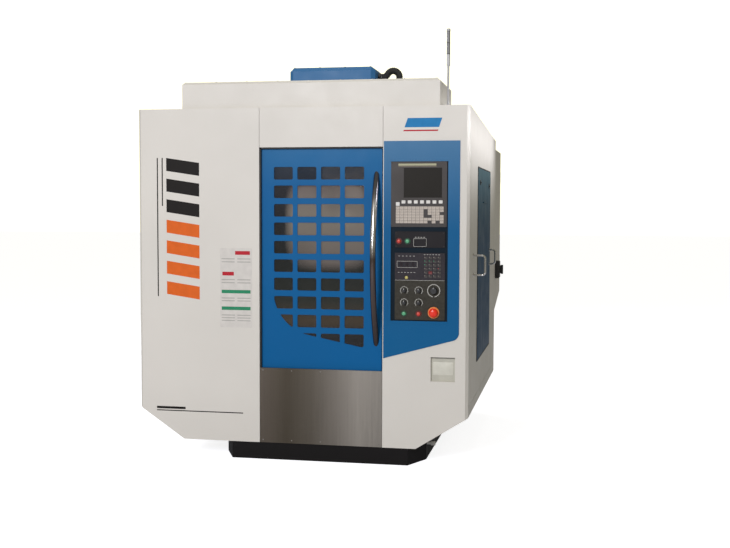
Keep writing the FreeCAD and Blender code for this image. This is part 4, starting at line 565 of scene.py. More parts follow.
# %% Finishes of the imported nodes
node_finishes = {
    warm_white: ("left_front_panel", "door_header", "control_column", "roof_and_rear_panels",
                 "roof_hood", "left_side_panel", "right_side_panel", "enclosure_frame",
                 "electrical_cabinet", "cabinet_door"),
    door_blue: ("door_panel",),
    fascia_blue: ("control_fascia",),
    cover_blue: ("motor_cover",),
    shaded_side_blue: ("side_covers",),
    base_black: ("base_plinth",),
    console_dark: ("screen_bezel",),
    console_rim: ("console_box",),
    switch_dark: ("switch_panel",),
    foil: ("operator_panel",),
    kick_steel: ("kick_plate",),
    liner_steel: ("chamber_liner", "cover_leaf_middle"),
    ground_steel: ("guide_rails", "screw_x", "screw_y", "screw_z", "spindle_shaft",
                   "spindle_tool", "magazine_tools", "carousel", "door_rollers"),
    table_steel: ("work_table",),
    machine_grey: ("head_casting", "saddle_casting", "magazine_carriage"),
    column_grey: ("bed_casting", "column_casting", "magazine_beam"),
    motor_black: ("axis_motors", "motor_x", "spindle_motor"),
    chrome: ("door_handle",),
    bright_steel: ("side_grips",),
    black_plastic: ("mode_knob", "feed_knob", "rapid_knob", "speed_knob", "override_dial",
                    "main_switch_box", "main_switch_handle"),
    red_plastic: ("power_off_button", "feed_hold_button"),
    stop_red: ("emergency_stop",),
    green_plastic: ("power_on_button", "cycle_start_button"),
    mat_grey: ("keypads",),
    lamp_grey: ("signal_lamp",),
    rubber: ("cable_conduit",),
    smoked: ("door_pane",),
    screen_dark: ("screen_pane",),
}
for finish, names in node_finishes.items():
    for name in names:
        nodes[name].data.materials.clear()
        nodes[name].data.materials.append(finish)
bare = sorted(set(nodes) - {n for names in node_finishes.values() for n in names})
print("nodes without a finish:", bare)

# %% [markdown]
# New pieces are surfaces worked out as whole arrays. A shape here is a stack of rings of points:
# the rings of a keycap are rounded rectangles, those of a screw head are circles, and those of a
# hose are circles carried along a path. Joining neighbours in the stack gives every quad by plain
# index arithmetic. All sizes are in millimetres until a piece is made.

# %% Rings to surfaces
def lofted(rings, closed=False):
    """Joins rings by quads: point k of ring i meets point k + 1 and the same two of ring i + 1.
    Open ends get a fan round their middle. A closed loft joins its last ring to its first."""
    count, around = rings.shape[:2]
    ring = np.arange(count if closed else count - 1)[:, None]
    point = np.arange(around)[None, :]
    here, beyond = ring * around, (ring + 1) % count * around
    after = (point + 1) % around
    quads = np.stack([here + point, here + after, beyond + after, beyond + point], axis=-1)
    points = rings.reshape(-1, 3)
    if closed:
        return points, quads.reshape(-1, 4), np.empty((0, 3), int)
    last = (count - 1) * around
    low = np.stack([np.full(around, count * around), after[0], point[0]], axis=-1)
    high = np.stack([np.full(around, count * around + 1), last + point[0], last + after[0]],
                    axis=-1)
    points = np.vstack([points, rings[0].mean(axis=0), rings[-1].mean(axis=0)])
    return points, quads.reshape(-1, 4), np.vstack([low, high])


def joined(*shapes):
    """Several shapes as one: faces are renumbered by the points that come before theirs."""
    starts = np.cumsum([0] + [len(points) for points, _, _ in shapes])
    return (np.vstack([points for points, _, _ in shapes]),
            np.vstack([quads + start for (_, quads, _), start in zip(shapes, starts)]),
            np.vstack([fans + start for (_, _, fans), start in zip(shapes, starts)]))


def copies(shape, offsets):
    """One shape at every offset: each row of offsets is added to all its points."""
    points, quads, fans = shape
    offsets = np.asarray(offsets, float).reshape(-1, 1, 3)
    shift = np.arange(len(offsets))[:, None, None] * len(points)
    return ((points + offsets).reshape(-1, 3), (quads + shift).reshape(-1, 4),
            (fans + shift).reshape(-1, 3))


def spun(shape, degrees):
    """A shape turned about its own third axis."""
    c, s = math.cos(math.radians(degrees)), math.sin(math.radians(degrees))
    return shape[0] @ np.array([[c, s, 0.0], [-s, c, 0.0], [0.0, 0.0, 1.0]]), shape[1], shape[2]


def raised(places, rise):
    """Places moved up, or down where the rise is negative."""
    return places + np.array([0.0, 0.0, rise])


print("3 rings of 8 points give", len(lofted(np.zeros((3, 8, 3)))[1]), "quads")

# %% [markdown]
# A shape is drawn lying down, with its third axis pointing out of the surface that it sits on.
# Then it is seated on a side of the machine: its first two axes follow that side, and the third
# is their cross product, which points away from the machine.

# %% Seating and outlines
print_lift = 0.15
FRONT = ((1, 0, 0), (0, 0, 1))
REAR = ((-1, 0, 0), (0, 0, 1))
RIGHT = ((0, 1, 0), (0, 0, 1))
LEFT = ((0, -1, 0), (0, 0, 1))
TOP = ((1, 0, 0), (0, 1, 0))
INWARD = ((1, 0, 0), (0, 0, -1))  # the third axis runs from the front to the rear


def seated(shape, side, places=(0.0, 0.0, 0.0)):
    """Turns a shape to a side of the machine, and sets it at one place or at each of several."""
    across, up = np.array(side, float)
    turned = shape[0] @ np.array([across, up, np.cross(across, up)])
    return copies((turned, shape[1], shape[2]), places)


def rounded_outline(width, height, radius, inset, corner_points):
    """Points round a rectangle whose corners are quarter circles. An inset shrinks the circles'
    radius first, and then moves their centres inwards."""
    bend = max(radius - inset, 0.02)
    angles = np.linspace(0.0, math.pi / 2, corner_points) + math.pi / 2 * np.arange(4)[:, None]
    signs = np.array([[1, 1], [-1, 1], [-1, -1], [1, -1]])[:, None]
    centres = signs * (np.array([width, height]) / 2 - max(radius, inset))
    return (centres + bend * np.stack([np.cos(angles), np.sin(angles)], axis=-1)).reshape(-1, 2)


def level(outline, lift):
    """A ring of points: a flat outline at this height above its seat."""
    return np.column_stack([outline, np.full(len(outline), lift)])


def plate(width, height, radius, steps, corner_points=4, closed=False):
    """A rounded rectangle lofted through steps of (inset, height above its seat)."""
    return lofted(np.array([
        level(rounded_outline(width, height, radius, inset, corner_points), lift)
        for inset, lift in steps]), closed)


def flat(width, height, lift=print_lift, radius=0.4):
    """A thin plate or a print, as high as its lift."""
    return plate(width, height, radius, ((0.0, 0.0), (0.0, lift)), 2)


def rim_plate(width, height, radius, rim, lift):
    """A frame: a rounded rectangle with a rim of this width round an open middle."""
    return plate(width, height, radius, ((0.0, 0.0), (0.0, lift), (rim, lift), (rim, 0.0)),
                 closed=True)


def cut_out(outline, lift=print_lift):
    """A thin piece or a print of any outline."""
    return lofted(np.array([level(outline, z) for z in (0.0, lift)]))


def swept(radii, angles, lifts):
    """Points at these radii, angles and heights, any of which may be given once for many."""
    radii, angles, lifts = np.broadcast_arrays(radii, angles, lifts)
    return np.stack([radii * np.cos(angles), radii * np.sin(angles), lifts], axis=-1)


def turning(steps, around=24, closed=False):
    """A profile of (radius, height) steps turned about the third axis."""
    radii, lifts = np.array(steps, float).T[..., None]
    angles = np.linspace(0.0, 2 * math.pi, around, endpoint=False)
    return lofted(swept(radii, angles, lifts), closed)


def arc_band(radius, width, height, start, end, parts=40):
    """A flat strip bent along an arc: a rectangular section carried from one angle to another."""
    angles = np.radians(np.linspace(start, end, parts))[:, None]
    radii = radius + width / 2 * np.array([1, -1, -1, 1])
    lifts = height * np.array([0, 0, 1, 1])
    return lofted(swept(radii, angles, lifts))


def tube(path, radius, normal, around=16):
    """A circle carried along a flat path. Its plane is spanned by the path's normal and by the
    cross product of that normal and the path's tangent. The radius may change along the path."""
    path = np.asarray(path, float)
    tangent = np.gradient(path, axis=0)
    tangent /= np.linalg.norm(tangent, axis=1, keepdims=True)
    normal = np.broadcast_to(np.array(normal, float), path.shape)
    angles = np.linspace(0.0, 2 * math.pi, around, endpoint=False)[:, None]
    circle = (np.cos(angles) * np.cross(normal, tangent)[:, None]
              + np.sin(angles) * normal[:, None])
    return lofted(path[:, None] + np.broadcast_to(radius, len(path))[:, None, None] * circle)


print("the front faces", np.cross(*FRONT), "and the top", np.cross(*TOP))

# %% [markdown]
# One function turns shapes into a finished piece: it scales millimetres to metres, makes the
# faces point outwards, shades smooth below a crease angle and lets the piece ride on its body.
# The helpers after it read places from the imported model.

# %% Making a piece
made_triangles = {}
metres_per_mm, mm_per_metre = 0.001, 1000.0


def add_piece(name, slot, finish, *shapes, body="root", crease=35.0, instead_of=()):
    """One mesh object from shapes, in metres at its place in the machine. It rides on the body
    that nothing moves, unless another one is named."""
    points, quads, fans = joined(*shapes)
    mesh = bpy.data.meshes.new(name)
    mesh.from_pydata((points * metres_per_mm).tolist(), [], quads.tolist() + fans.tolist())
    mesh.materials.append(finish)
    shell = bmesh.new()
    shell.from_mesh(mesh)
    bmesh.ops.recalc_face_normals(shell, faces=shell.faces)
    shell.to_mesh(mesh)
    shell.free()
    mesh.shade_smooth()
    mesh.set_sharp_from_angle(angle=math.radians(crease))
    piece = bpy.data.objects.new(name, mesh)
    bpy.context.scene.collection.objects.link(piece)
    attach(piece, body)
    if instead_of:
        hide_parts(*instead_of)
    made_triangles[name] = 2 * len(quads) + len(fans)
    return piece


def node_corners(name):
    """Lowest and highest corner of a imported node."""
    return np.array([tuple(corner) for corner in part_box(name)]) * mm_per_metre


axis_places = {joint["child"]: np.array(joint["pos_m"]) * mm_per_metre
               for joint in frame["joints"] if "pos_m" in joint}
unit_face = node_corners("screen_bezel")[0][1]


def on_unit(x, z):
    """A point on the console units' common face."""
    return np.array([x, unit_face, z])


print(len(axis_places), "joint axes, and the console units' face at y =", unit_face.round(1))

# %% [markdown]
# Screws hold covers and units everywhere, so a socket-head screw comes first. Its head is a
# turned wall with a chamfer. Inside, the rings become a hexagon: on a hexagon, the radius at an
# angle is the apothem divided by the cosine of the angle to the nearest flat's middle.

# %% Socket-head screw
ring_angles = np.linspace(0.0, 2 * math.pi, 24, endpoint=False)


def hexagon(apothem):
    """Radii of a hexagon at the 24 ring angles."""
    return apothem / np.cos(ring_angles % (math.pi / 3) - math.pi / 6)


def stack(radii, lifts):
    """Rings whose radius may change with the angle, at these heights."""
    radii = np.array([np.broadcast_to(row, ring_angles.shape) for row in radii])
    return lofted(swept(radii, ring_angles, np.array(lifts, float)[:, None]))


def socket_screw(head, height):
    """A screw head of this radius and height with a hexagonal socket."""
    socket = hexagon(0.48 * head)
    return stack([head, head, 0.88 * head, socket, socket],
                 [0.0, 0.8 * height, height, height, 0.4 * height])


print("a screw head has", len(socket_screw(3.0, 2.0)[1]), "quads")

# %% [markdown]
# The keypad under the screen is a block of small cream keys with a dark gap right of its middle
# and a few keys left out. One key stands above the block at its left end. A keycap is a rounded
# rectangle lofted up to a soft edge, with a shallow dish on top, so that it catches the light.

# %% Entry keys
screen_left, _, screen_low = node_corners("screen_bezel")[0]
keypad_x = screen_left + np.array([29.0, 302.0])
keypad_z = screen_low + np.array([20.0, 116.0])
key_columns, key_rows = 12, 6
left_out = {(7, 2), (7, 3), (7, 4), (8, 2), (11, 3), (8, 0), (10, 0)}


def keycap(width, height, radius=1.6, lift=3.0):
    """A cap with a soft edge and a dished top."""
    return seated(plate(width, height, radius,
                        ((0.0, 0.0), (0.0, lift - 1.0), (0.3, lift - 0.3), (0.9, lift),
                         (2.6, lift - 0.25))), FRONT)


def grid_places(x_span, z_span, columns, rows, cells):
    """Middles of some cells of a grid that is counted from its lower left corner."""
    i, j = np.array(sorted(cells), float).T
    return np.column_stack([x_span[0] + (i + 0.5) * (x_span[1] - x_span[0]) / columns,
                            np.full(len(i), unit_face),
                            z_span[0] + (j + 0.5) * (z_span[1] - z_span[0]) / rows])


every_cell = {(i, j) for i in range(key_columns) for j in range(key_rows)}
key_places = grid_places(keypad_x, keypad_z, key_columns, key_rows, every_cell - left_out)
cell_width = (keypad_x[1] - keypad_x[0]) / key_columns
cell_height = (keypad_z[1] - keypad_z[0]) / key_rows
ear_place = on_unit(keypad_x[0] + cell_width / 2, keypad_z[1] + 13.0)
add_piece("entry_keys", "key_rubber", key_cream,
          copies(keycap(cell_width - 1.8, cell_height - 1.8), key_places), instead_of=("keypads",))
add_piece("shift_key", "key_rubber", cap_white,
          copies(keycap(cell_width - 1.0, 21.0), ear_place))
print(len(key_places), "entry keys of", round(cell_width, 1), "by", round(cell_height, 1), "mm")

# %% [markdown]
# The caps stand on a grey rubber mat. Where keys are left out, the dark plate of the console
# shows. Each cap carries a short printed dash, and seven larger white keys stand in a row under
# the glass.

# %% Key mat, prints and soft keys
mat = plate(keypad_x[1] - keypad_x[0], keypad_z[1] - keypad_z[0], 2.0,
            ((0.0, 0.0), (0.0, 0.4), (0.6, 0.8)))
gap_places = grid_places(keypad_x, keypad_z, key_columns, key_rows, left_out)
print_shift = np.array([-3.0, -2.7, 2.0])
add_piece("key_mat", "key_rubber", mat_grey,
          seated(mat, FRONT, on_unit(keypad_x.mean(), keypad_z.mean())))
add_piece("key_gaps", "console_paint", console_dark,
          seated(flat(cell_width + 0.6, cell_height + 0.6, 1.2), FRONT, gap_places))
add_piece("key_prints", "black_plastic", print_dark,
          seated(flat(5.0, 1.2), FRONT, key_places + print_shift))
soft_key_x = screen_left + 73.0 + 35.2 * np.arange(7)
soft_key_places = [on_unit(x, screen_low + 141.0) for x in soft_key_x]
add_piece("soft_keys", "key_rubber", cap_white,
          copies(keycap(22.0, 18.5, 3.0), soft_key_places))
print(len(gap_places), "gaps and", len(soft_key_places), "soft keys")

# %% [markdown]
# Thin filler strips close the gap between the fascia's cut-out and the units at the left, above
# and below, flush with the fascia and in its colour. A yellow strip crosses the top of the screen
# unit, with a painted shadow under it, and the covered port below has a white frame printed round
# it.

# %% Filler strips, yellow strip and port marks
fascia_face = node_corners("control_fascia")[0][1]
rim_width = np.array([10.3, 0.0, 10.3])
rim_low, rim_high = node_corners("console_box") + np.array([rim_width, -rim_width])
filler_height = rim_low[1] - fascia_face
unit_top, unit_bottom = node_corners("screen_bezel")[1][2] + 1.0, 834.0
filler_spans = ((rim_low[0], screen_left + 1.0, rim_low[2], rim_high[2]),
                (screen_left + 1.0, rim_high[0], unit_top, rim_high[2]),
                (screen_left + 1.0, rim_high[0], rim_low[2], unit_bottom))
add_piece("console_fillers", "blue_paint", fascia_blue,
          *[seated(flat(right - left, high - low, filler_height), FRONT,
                   ((left + right) / 2, rim_low[1], (low + high) / 2))
            for left, right, low, high in filler_spans])
strip_middle = on_unit(screen_left + 151.0, screen_low + 351.0)
add_piece("screen_strip", "key_rubber", strip_yellow,
          seated(flat(216.0, 11.0, 0.8, 1.5), FRONT, strip_middle))
# Painted shadow: a dark olive band under the yellow strip.
add_piece("screen_strip_edge", "key_rubber", strip_olive,
          seated(flat(216.0, 7.0, 0.5), FRONT, raised(strip_middle, -10.0)))
switch_left, _, switch_low = node_corners("switch_panel")[0]
port_middle = on_unit(switch_left + 143.0, switch_low + 29.0)
port_frame = rim_plate(74.0, 46.0, 3.0, 1.6, 0.2)
port_dashes = [port_middle + np.array([x, 0.0, 30.0]) for x in (-24.0, -8.0, 8.0, 24.0)]
add_piece("port_marks", "key_rubber", print_pale, seated(port_frame, FRONT, port_middle),
          seated(flat(9.0, 3.0), FRONT, port_dashes))
print("fillers stand", round(filler_height, 1), "mm off the console's frame")

# %% [markdown]
# The operator unit has a block of dark membrane keys, each with a small lamp in its corner. A few
# of the lamps are on. Rows of short printed dashes mark the lamps and the knobs.

# %% Mode keys, lamps and labels
operator_left, _, operator_low = node_corners("operator_panel")[0]
mode_grid = (operator_left + np.array([165.0, 267.0]), operator_low + np.array([237.0, 363.0]),
             4, 6)
mode_cells = {(i, j) for i in range(4) for j in range(6)}
reset_cells, green_cells, red_cells = {(1, 1)}, {(0, 4), (1, 4), (2, 4), (0, 3)}, {(3, 2)}
add_piece("mode_keys", "key_rubber", console_dark,
          copies(keycap(20.0, 15.5, 2.0, 2.4), grid_places(*mode_grid, mode_cells)))
add_piece("reset_key", "red_plastic", dark_red,
          copies(keycap(21.0, 16.5, 2.0, 3.0), grid_places(*mode_grid, reset_cells)))
lamp_lens = seated(turning(((2.4, 0.0), (2.4, 0.8), (1.6, 1.5), (0.3, 1.7)), 12), FRONT)
lamp_shift = np.array([-6.0, -2.2, 4.0])
lamp_sets = {"green_lamps": (lamp_green, green_cells), "red_lamps": (lamp_red, red_cells),
             "unlit_lamps": (mat_grey, mode_cells - reset_cells - green_cells - red_cells)}
for name, (finish, cells) in lamp_sets.items():
    add_piece(name, "lamp_plastic", finish,
              copies(lamp_lens, grid_places(*mode_grid, cells) + lamp_shift))
signal_lens = turning(((9.0, 0.0), (9.0, 2.0), (7.0, 3.6), (3.0, 4.2), (0.3, 4.3)))
add_piece("alarm_lens", "lamp_plastic", lamp_yellow,
          seated(signal_lens, FRONT, on_unit(operator_left + 67.0, operator_low + 240.0)))
label_rows = ((269.0, 22.0, 112.0, 6), (362.0, 25.0, 109.0, 5), (371.0, 170.0, 252.0, 6))
label_places = [on_unit(operator_left + x, operator_low + z)
                for z, first, last, count in label_rows for x in np.linspace(first, last, count)]
add_piece("unit_labels", "key_rubber", print_pale,
          seated(flat(9.0, 2.4), FRONT, label_places),
          seated(flat(281.0, 1.6), FRONT, on_unit(operator_left + 143.0,
                                          foil_line * mm_per_metre)))
print(len(mode_cells), "mode keys,", len(label_places), "labels")

# %% [markdown]
# A three-digit display sits in its raised frame. Each digit is seven bars on an 8 shape. A bar is
# a flat hexagon, long between its two tips, so that neighbours meet at a mitre.

# %% Display
digit_width, digit_height, bar_width = 11.0, 19.0, 2.4
display_middle = on_unit(operator_left + 71.0, operator_low + 315.0)


def digit_bar(length, angle, x, y):
    """A hexagonal bar between two tips, turned and then moved."""
    half, cut = length / 2, bar_width / 2
    tips = np.array([(-half, 0), (cut - half, -cut), (half - cut, -cut), (half, 0),
                     (half - cut, cut), (cut - half, cut)])
    return copies(spun(cut_out(tips, 0.4), angle), (x, y, 0.0))


half_width, half_height = digit_width / 2, digit_height / 2
digit = seated(joined(*[digit_bar(digit_width - 1.0, 0.0, 0.0, y)
                        for y in (-half_height, 0.0, half_height)],
                      *[digit_bar(half_height - 1.0, 90.0, x, y)
                        for x in (-half_width, half_width)
                        for y in (-half_height / 2, half_height / 2)]), FRONT)
digit_places = [display_middle + np.array([x, -0.6, 0.0]) for x in (-34.0, 0.0, 34.0)]
display_rim = rim_plate(117.0, 37.0, 2.0, 1.6, 0.4)
add_piece("display_window", "screen_glass", screen_dark,
          seated(flat(105.0, 26.0, 0.6), FRONT, display_middle))
add_piece("display_digits", "red_plastic", dark_red, copies(digit, digit_places))
add_piece("display_rim", "key_rubber", print_pale,
          seated(display_rim, FRONT, display_middle - np.array([0.0, 3.0, 0.0])))
print(len(digit_places), "digits of", len(digit[1]), "quads")

# %% [markdown]
# White scales are printed round the knobs: three quarters of a circle with ticks. The large dial
# has a longer scale. Each knob carries a white line that turns with it, so that line rides on the
# knob's own body.

# %% Scales and pointers
def scale(radius, start, end, ticks, tick_length, width):
    """A flat arc with radial ticks outside it."""
    tick = copies(flat(tick_length, 1.2), (radius + width / 2 + tick_length / 2, 0.0, 0.0))
    return seated(joined(arc_band(radius, width, print_lift, start, end),
                         *[spun(tick, angle) for angle in np.linspace(start, end, ticks)]), FRONT)


knob_places = {body: on_unit(*axis_places[body][[0, 2]])
               for body in ("mode", "feed", "rapid", "speed", "override")}
add_piece("knob_scales", "key_rubber", print_pale,
          copies(scale(radius=21.0, start=-45.0, end=225.0, ticks=9, tick_length=3.4, width=2.2),
                 [place for body, place in knob_places.items() if body != "override"]),
          copies(scale(radius=34.5, start=-80.0, end=260.0, ticks=24, tick_length=3.0, width=3.4),
                 knob_places["override"]))
for body, place in knob_places.items():
    dial = body == "override"
    knob_face = node_corners(body + ("_dial" if dial else "_knob"))[0][1]
    width, length, reach = (2.2, 8.0, 15.0) if dial else (1.8, 9.0, 8.0)
    add_piece(body + "_pointer", "key_rubber", cap_white,
              seated(flat(width, length, 0.3), FRONT, (place[0], knob_face, place[2] + reach)),
              body=body)
print("scales at", [tuple(place[[0, 2]].round()) for place in knob_places.values()])

# %% [markdown]
# Each push button is a lens in a coloured collar. The lens is domed and moves with its button,
# and the collar stays on the unit. The emergency stop has a wide orange ring behind its mushroom,
# as a closed section turned about the button's axis. A domed cap covers the mushroom, and stands
# 7 mm off the ring, more than the button's travel.

# %% Buttons
button_sets = {  # slot, finish of the lens and of the collar, and the bodies that move
    "red_collars": ("red_plastic", red_plastic, dark_red, ("power_off", "feed_hold")),
    "green_collars": ("green_plastic", green_plastic, dark_green, ("power_on", "cycle_start"))}
button_dome = turning(((9.4, 0.0), (9.4, 0.5), (8.2, 1.2), (5.0, 1.9), (0.3, 2.1)))
collar = turning(((14.1, 0.0), (17.5, 0.0), (17.5, 1.4), (16.4, 2.4), (14.1, 2.4)), closed=True)


def button_middle(name):
    """The middle of a button's cap on its outer face."""
    low, high = node_corners(name)
    return np.array([(low[0] + high[0]) / 2, low[1], (low[2] + high[2]) / 2])


for name, (slot, lens, ring, bodies) in button_sets.items():
    middles = [button_middle(body + "_button") for body in bodies]
    for body, middle in zip(bodies, middles):
        add_piece(body + "_lens", slot, lens, seated(button_dome, FRONT, middle), body=body)
    add_piece(name, slot, ring,
              seated(collar, FRONT, [on_unit(*middle[[0, 2]]) for middle in middles]))
stop_ring = turning(((12.0, 4.05), (26.1, 4.05), (26.1, 0.05), (32.5, 0.05), (32.5, 3.5),
                     (31.0, 5.0), (12.0, 5.0)), 48, closed=True)
stop_cap = turning(((9.3, 12.2), (24.6, 12.2), (25.6, 13.2), (26.0, 15.0), (25.8, 18.0),
                    (24.4, 22.5), (20.6, 26.8), (14.0, 29.6), (7.0, 30.5), (0.3, 30.7)), 48)
stop_place = on_unit(*button_middle("emergency_stop")[[0, 2]])
add_piece("stop_ring", "red_plastic", stop_orange, seated(stop_ring, FRONT, stop_place))
add_piece("stop_cap", "red_plastic", stop_red, seated(stop_cap, FRONT, stop_place),
          body="emergency_stop")
print("emergency stop at", stop_place.round(1))

# %% [markdown]
# Four small blackened screws hold each of the three units to the console frame. They sit just
# inside the corners.

# %% Console screws
def corner_places(node, inset, y):
    """Points inside the four corners of a node's front."""
    low, high = node_corners(node)
    return [np.array([x, y, z]) for x in (low[0] + inset, high[0] - inset)
            for z in (low[2] + inset, high[2] - inset)]


unit_screws = [place for node in ("screen_bezel", "switch_panel", "operator_panel")
               for place in corner_places(node, 7.0, unit_face)]
add_piece("console_screws", "motor_black", black_oxide,
          seated(socket_screw(3.0, 1.6), FRONT, unit_screws))
print(len(unit_screws), "console screws")

# %% [markdown]
# The left panel carries a printed decoration. Here it is a column of plain leaning bars, black
# above and orange below, beside two pinstripes. A leaning bar is a parallelogram. Two more stripes
# run along the bottom of the panel. Printed film has hardly any gloss.

# %% Prints on the left panel
panel_face = node_corners("left_front_panel")[0][1]
bar_column_x, bar_length, bar_height, bar_lean = -930.0, 203.0, 76.0, 30.0
bar_tops = 1765.0 - 121.0 * np.arange(7)
dark_count = 3


def film(name, colour):
    """Printed film: a plastic with an even, nearly matt face."""
    return plastic(name, colour, 0.5, Specular_IOR_Level=0.1)


def leaning_bar(length, height, lean):
    """A flat parallelogram whose right end is lower than its left one by the lean."""
    return cut_out([(0, 0), (0, -height), (length, -height - lean), (length, -lean)])


def on_panel(shape, x, z, lift=0.0):
    """A print seated on the front panels' face."""
    return seated(shape, FRONT, (x, panel_face - lift, z))


print_red = film("print_red", (0.45, 0.022, 0.035))
bars = [on_panel(leaning_bar(bar_length, bar_height, bar_lean), bar_column_x, top)
        for top in bar_tops]
stripes = ((7.0, 816.0, -985.0, 1357.0), (7.0, 282.0, -955.0, 1624.0),
           (535.0, 6.0, -731.5, 268.0), (180.0, 14.0, -909.0, 285.0))
add_piece("panel_bars_dark", "black_paint", film("print_black", (0.014, 0.012, 0.011)),
          *bars[:dark_count], *[on_panel(flat(w, h), x, z) for w, h, x, z in stripes])
add_piece("panel_bars_orange", "red_plastic", film("print_orange", (0.68, 0.125, 0.018)),
          *bars[dark_count:])
print(len(bars), "bars and", len(stripes), "stripes")

# %% [markdown]
# The pale plate beside the bars has plain fields of colour: two red ones, two green ones and
# lines of grey in two columns. Each is a thin print that lies on the plate's face.

# %% Plate on the left panel
plate_x, plate_z, plate_lift = -504.0, 1005.5, 0.8
line_heights = (170.0, 152.0, 48.0, 30.0, -60.0, -76.0, -160.0, -176.0, -192.0)
fields = {  # finish, slot, and each field's place on the plate, width and height
    "plate_red": (print_red, "red_plastic",
                  ((40.0, 205.0, 90.0, 22.0), (-48.0, 83.0, 70.0, 22.0))),
    "plate_green": (film("print_green", (0.030, 0.240, 0.120)), "green_plastic",
                    ((0.0, -22.0, 176.0, 20.0), (0.0, -120.0, 176.0, 20.0))),
    "plate_grey": (film("print_grey", (0.38, 0.37, 0.34)), "key_rubber",
                   [(x, z, 80.0, 5.0) for x in (-48.0, 48.0) for z in line_heights])}
pale_plate = plate(194.0, 465.0, 6.0, ((0.0, 0.0), (0.0, 0.5), (0.4, plate_lift)))
add_piece("panel_plate", "white_paint", film("plate_white", (0.62, 0.59, 0.55)),
          on_panel(pale_plate, plate_x, plate_z))
for name, (finish, slot, places) in fields.items():
    add_piece(name, slot, finish,
              *[on_panel(flat(w, h), plate_x + x, plate_z + z, plate_lift)
                for x, z, w, h in places])
print(sum(len(places) for _, _, places in fields.values()), "fields on the plate")

# %% [markdown]
# Over the console stand two plain bars: a thick blue one above a thin red one, both with leaning
# ends.

# %% Bars over the console
def slanted_bar(length, height, slant):
    """A flat bar whose upper edge is shifted along by the slant."""
    return cut_out([(0, 0), (length, 0), (length + slant, height), (slant, height)])


add_piece("header_bars", "blue_paint", film("print_blue", (0.020, 0.190, 0.430)),
          on_panel(slanted_bar(196.0, 52.0, 18.0), 488.0, 1928.0))
add_piece("header_underline", "red_plastic", print_red,
          on_panel(slanted_bar(196.0, 8.0, 3.0), 481.0, 1906.0))
print("bars over the console made")

# %% [markdown]
# The conduit from the motor cover to the roof is a corrugated hose. Its path lies in one plane:
# the heading stays level, swings up by 60 degrees, swings over to straight down, and the place is
# the running sum of the heading's cosine and sine. The radius follows a wave for the ribs. Hex
# nuts hold both ends.

# %% Ribbed conduit
conduit_low, conduit_high = node_corners("cable_conduit")
hose_radius, hose_bend, rib_pitch, rib_depth, nut_apothem = 22.0, 40.0, 8.0, 1.3, 25.8
straight, up_turn, full_turn = 24.0, math.radians(60.0), math.radians(210.0)
hose_axis = np.array([conduit_low[0], (conduit_low[1] + conduit_high[1]) / 2,
                      conduit_high[2] - hose_radius - hose_bend])
hose_bends = straight + hose_bend * np.array([0.0, up_turn, full_turn])
hose_length = hose_bends[2] + hose_axis[2] - conduit_low[2]
along = np.arange(0.0, hose_length, rib_pitch / 6.0)
heading = np.interp(along, hose_bends, [0.0, up_turn, -math.pi / 2])
step = rib_pitch / 6.0 * np.column_stack([np.cos(heading), np.zeros(len(along)), np.sin(heading)])
hose_path = hose_axis + np.cumsum(step, axis=0) - step[0]
ribs = hose_radius - rib_depth + rib_depth * np.cos(2 * math.pi * along / rib_pitch)
gland_nut = stack([hexagon(nut_apothem), hexagon(nut_apothem), nut_apothem, 23.0, 23.0],
                  [0.0, 13.0, 15.0, 17.0, 25.0])
add_piece("ribbed_conduit", "conduit_rubber", rubber,
          tube(hose_path, ribs, (0.0, 1.0, 0.0), 24), crease=60.0, instead_of=("cable_conduit",))
add_piece("gland_nuts", "black_plastic", black_plastic,
          seated(gland_nut, RIGHT, hose_axis),
          seated(gland_nut, TOP, (hose_path[-1][0], hose_axis[1], conduit_low[2])))
print("conduit", round(hose_length), "mm long, ends at", hose_path[-1].round(1))

# %% [markdown]
# The pocket in the column gets a darker liner, painted shade in the recess, with a raised pad,
# and a dark strip along its top edge, a painted shadow. Two rows of small dull screws hold the
# stainless kick plate.

# %% Pocket liner and kick plate screws
pocket_left, pocket_right, pocket_low, pocket_high = 643.0, 785.0, 490.0, 632.0
pocket_floor = -746.0
pocket_middle = ((pocket_left + pocket_right) / 2, pocket_floor, (pocket_low + pocket_high) / 2)
pocket_span = np.array([pocket_right - pocket_left, pocket_high - pocket_low]) - 1.0
pocket_pad = plate(116.0, 74.0, 6.0, ((0.0, 0.6), (0.0, 1.4), (5.0, 3.0)))
# Painted shade: a darker liner on the pocket's floor.
add_piece("pocket_liner", "white_paint",
          plastic("pocket_liner", (0.50, 0.485, 0.410), 0.5),
          seated(flat(*pocket_span, 0.6), FRONT, pocket_middle))
add_piece("pocket_pad", "white_paint", plastic("pocket_pad", (0.63, 0.615, 0.530), 0.5),
          seated(pocket_pad, FRONT, raised(pocket_middle, 4.0)))
# Painted shadow: a dark strip along the pocket's top edge.
add_piece("pocket_sealant", "conduit_rubber",
          plastic("sealant_grey", (0.10, 0.095, 0.080), 0.6),
          seated(flat(pocket_span[0], 5.0, 12.0), FRONT,
                 (pocket_middle[0], pocket_floor, pocket_high - 3.0)))
kick_low, kick_high = node_corners("kick_plate")
kick_screws = [(x, kick_low[1], z)
               for x in np.linspace(kick_low[0] + 18.0, kick_high[0] - 18.0, 5)
               for z in (kick_low[2] + 16.0, kick_high[2] - 14.0)]
add_piece("kick_plate_screws", "ground_steel", dull_steel,
          seated(socket_screw(3.5, 1.4), FRONT, kick_screws))
print(len(kick_screws), "kick plate screws")
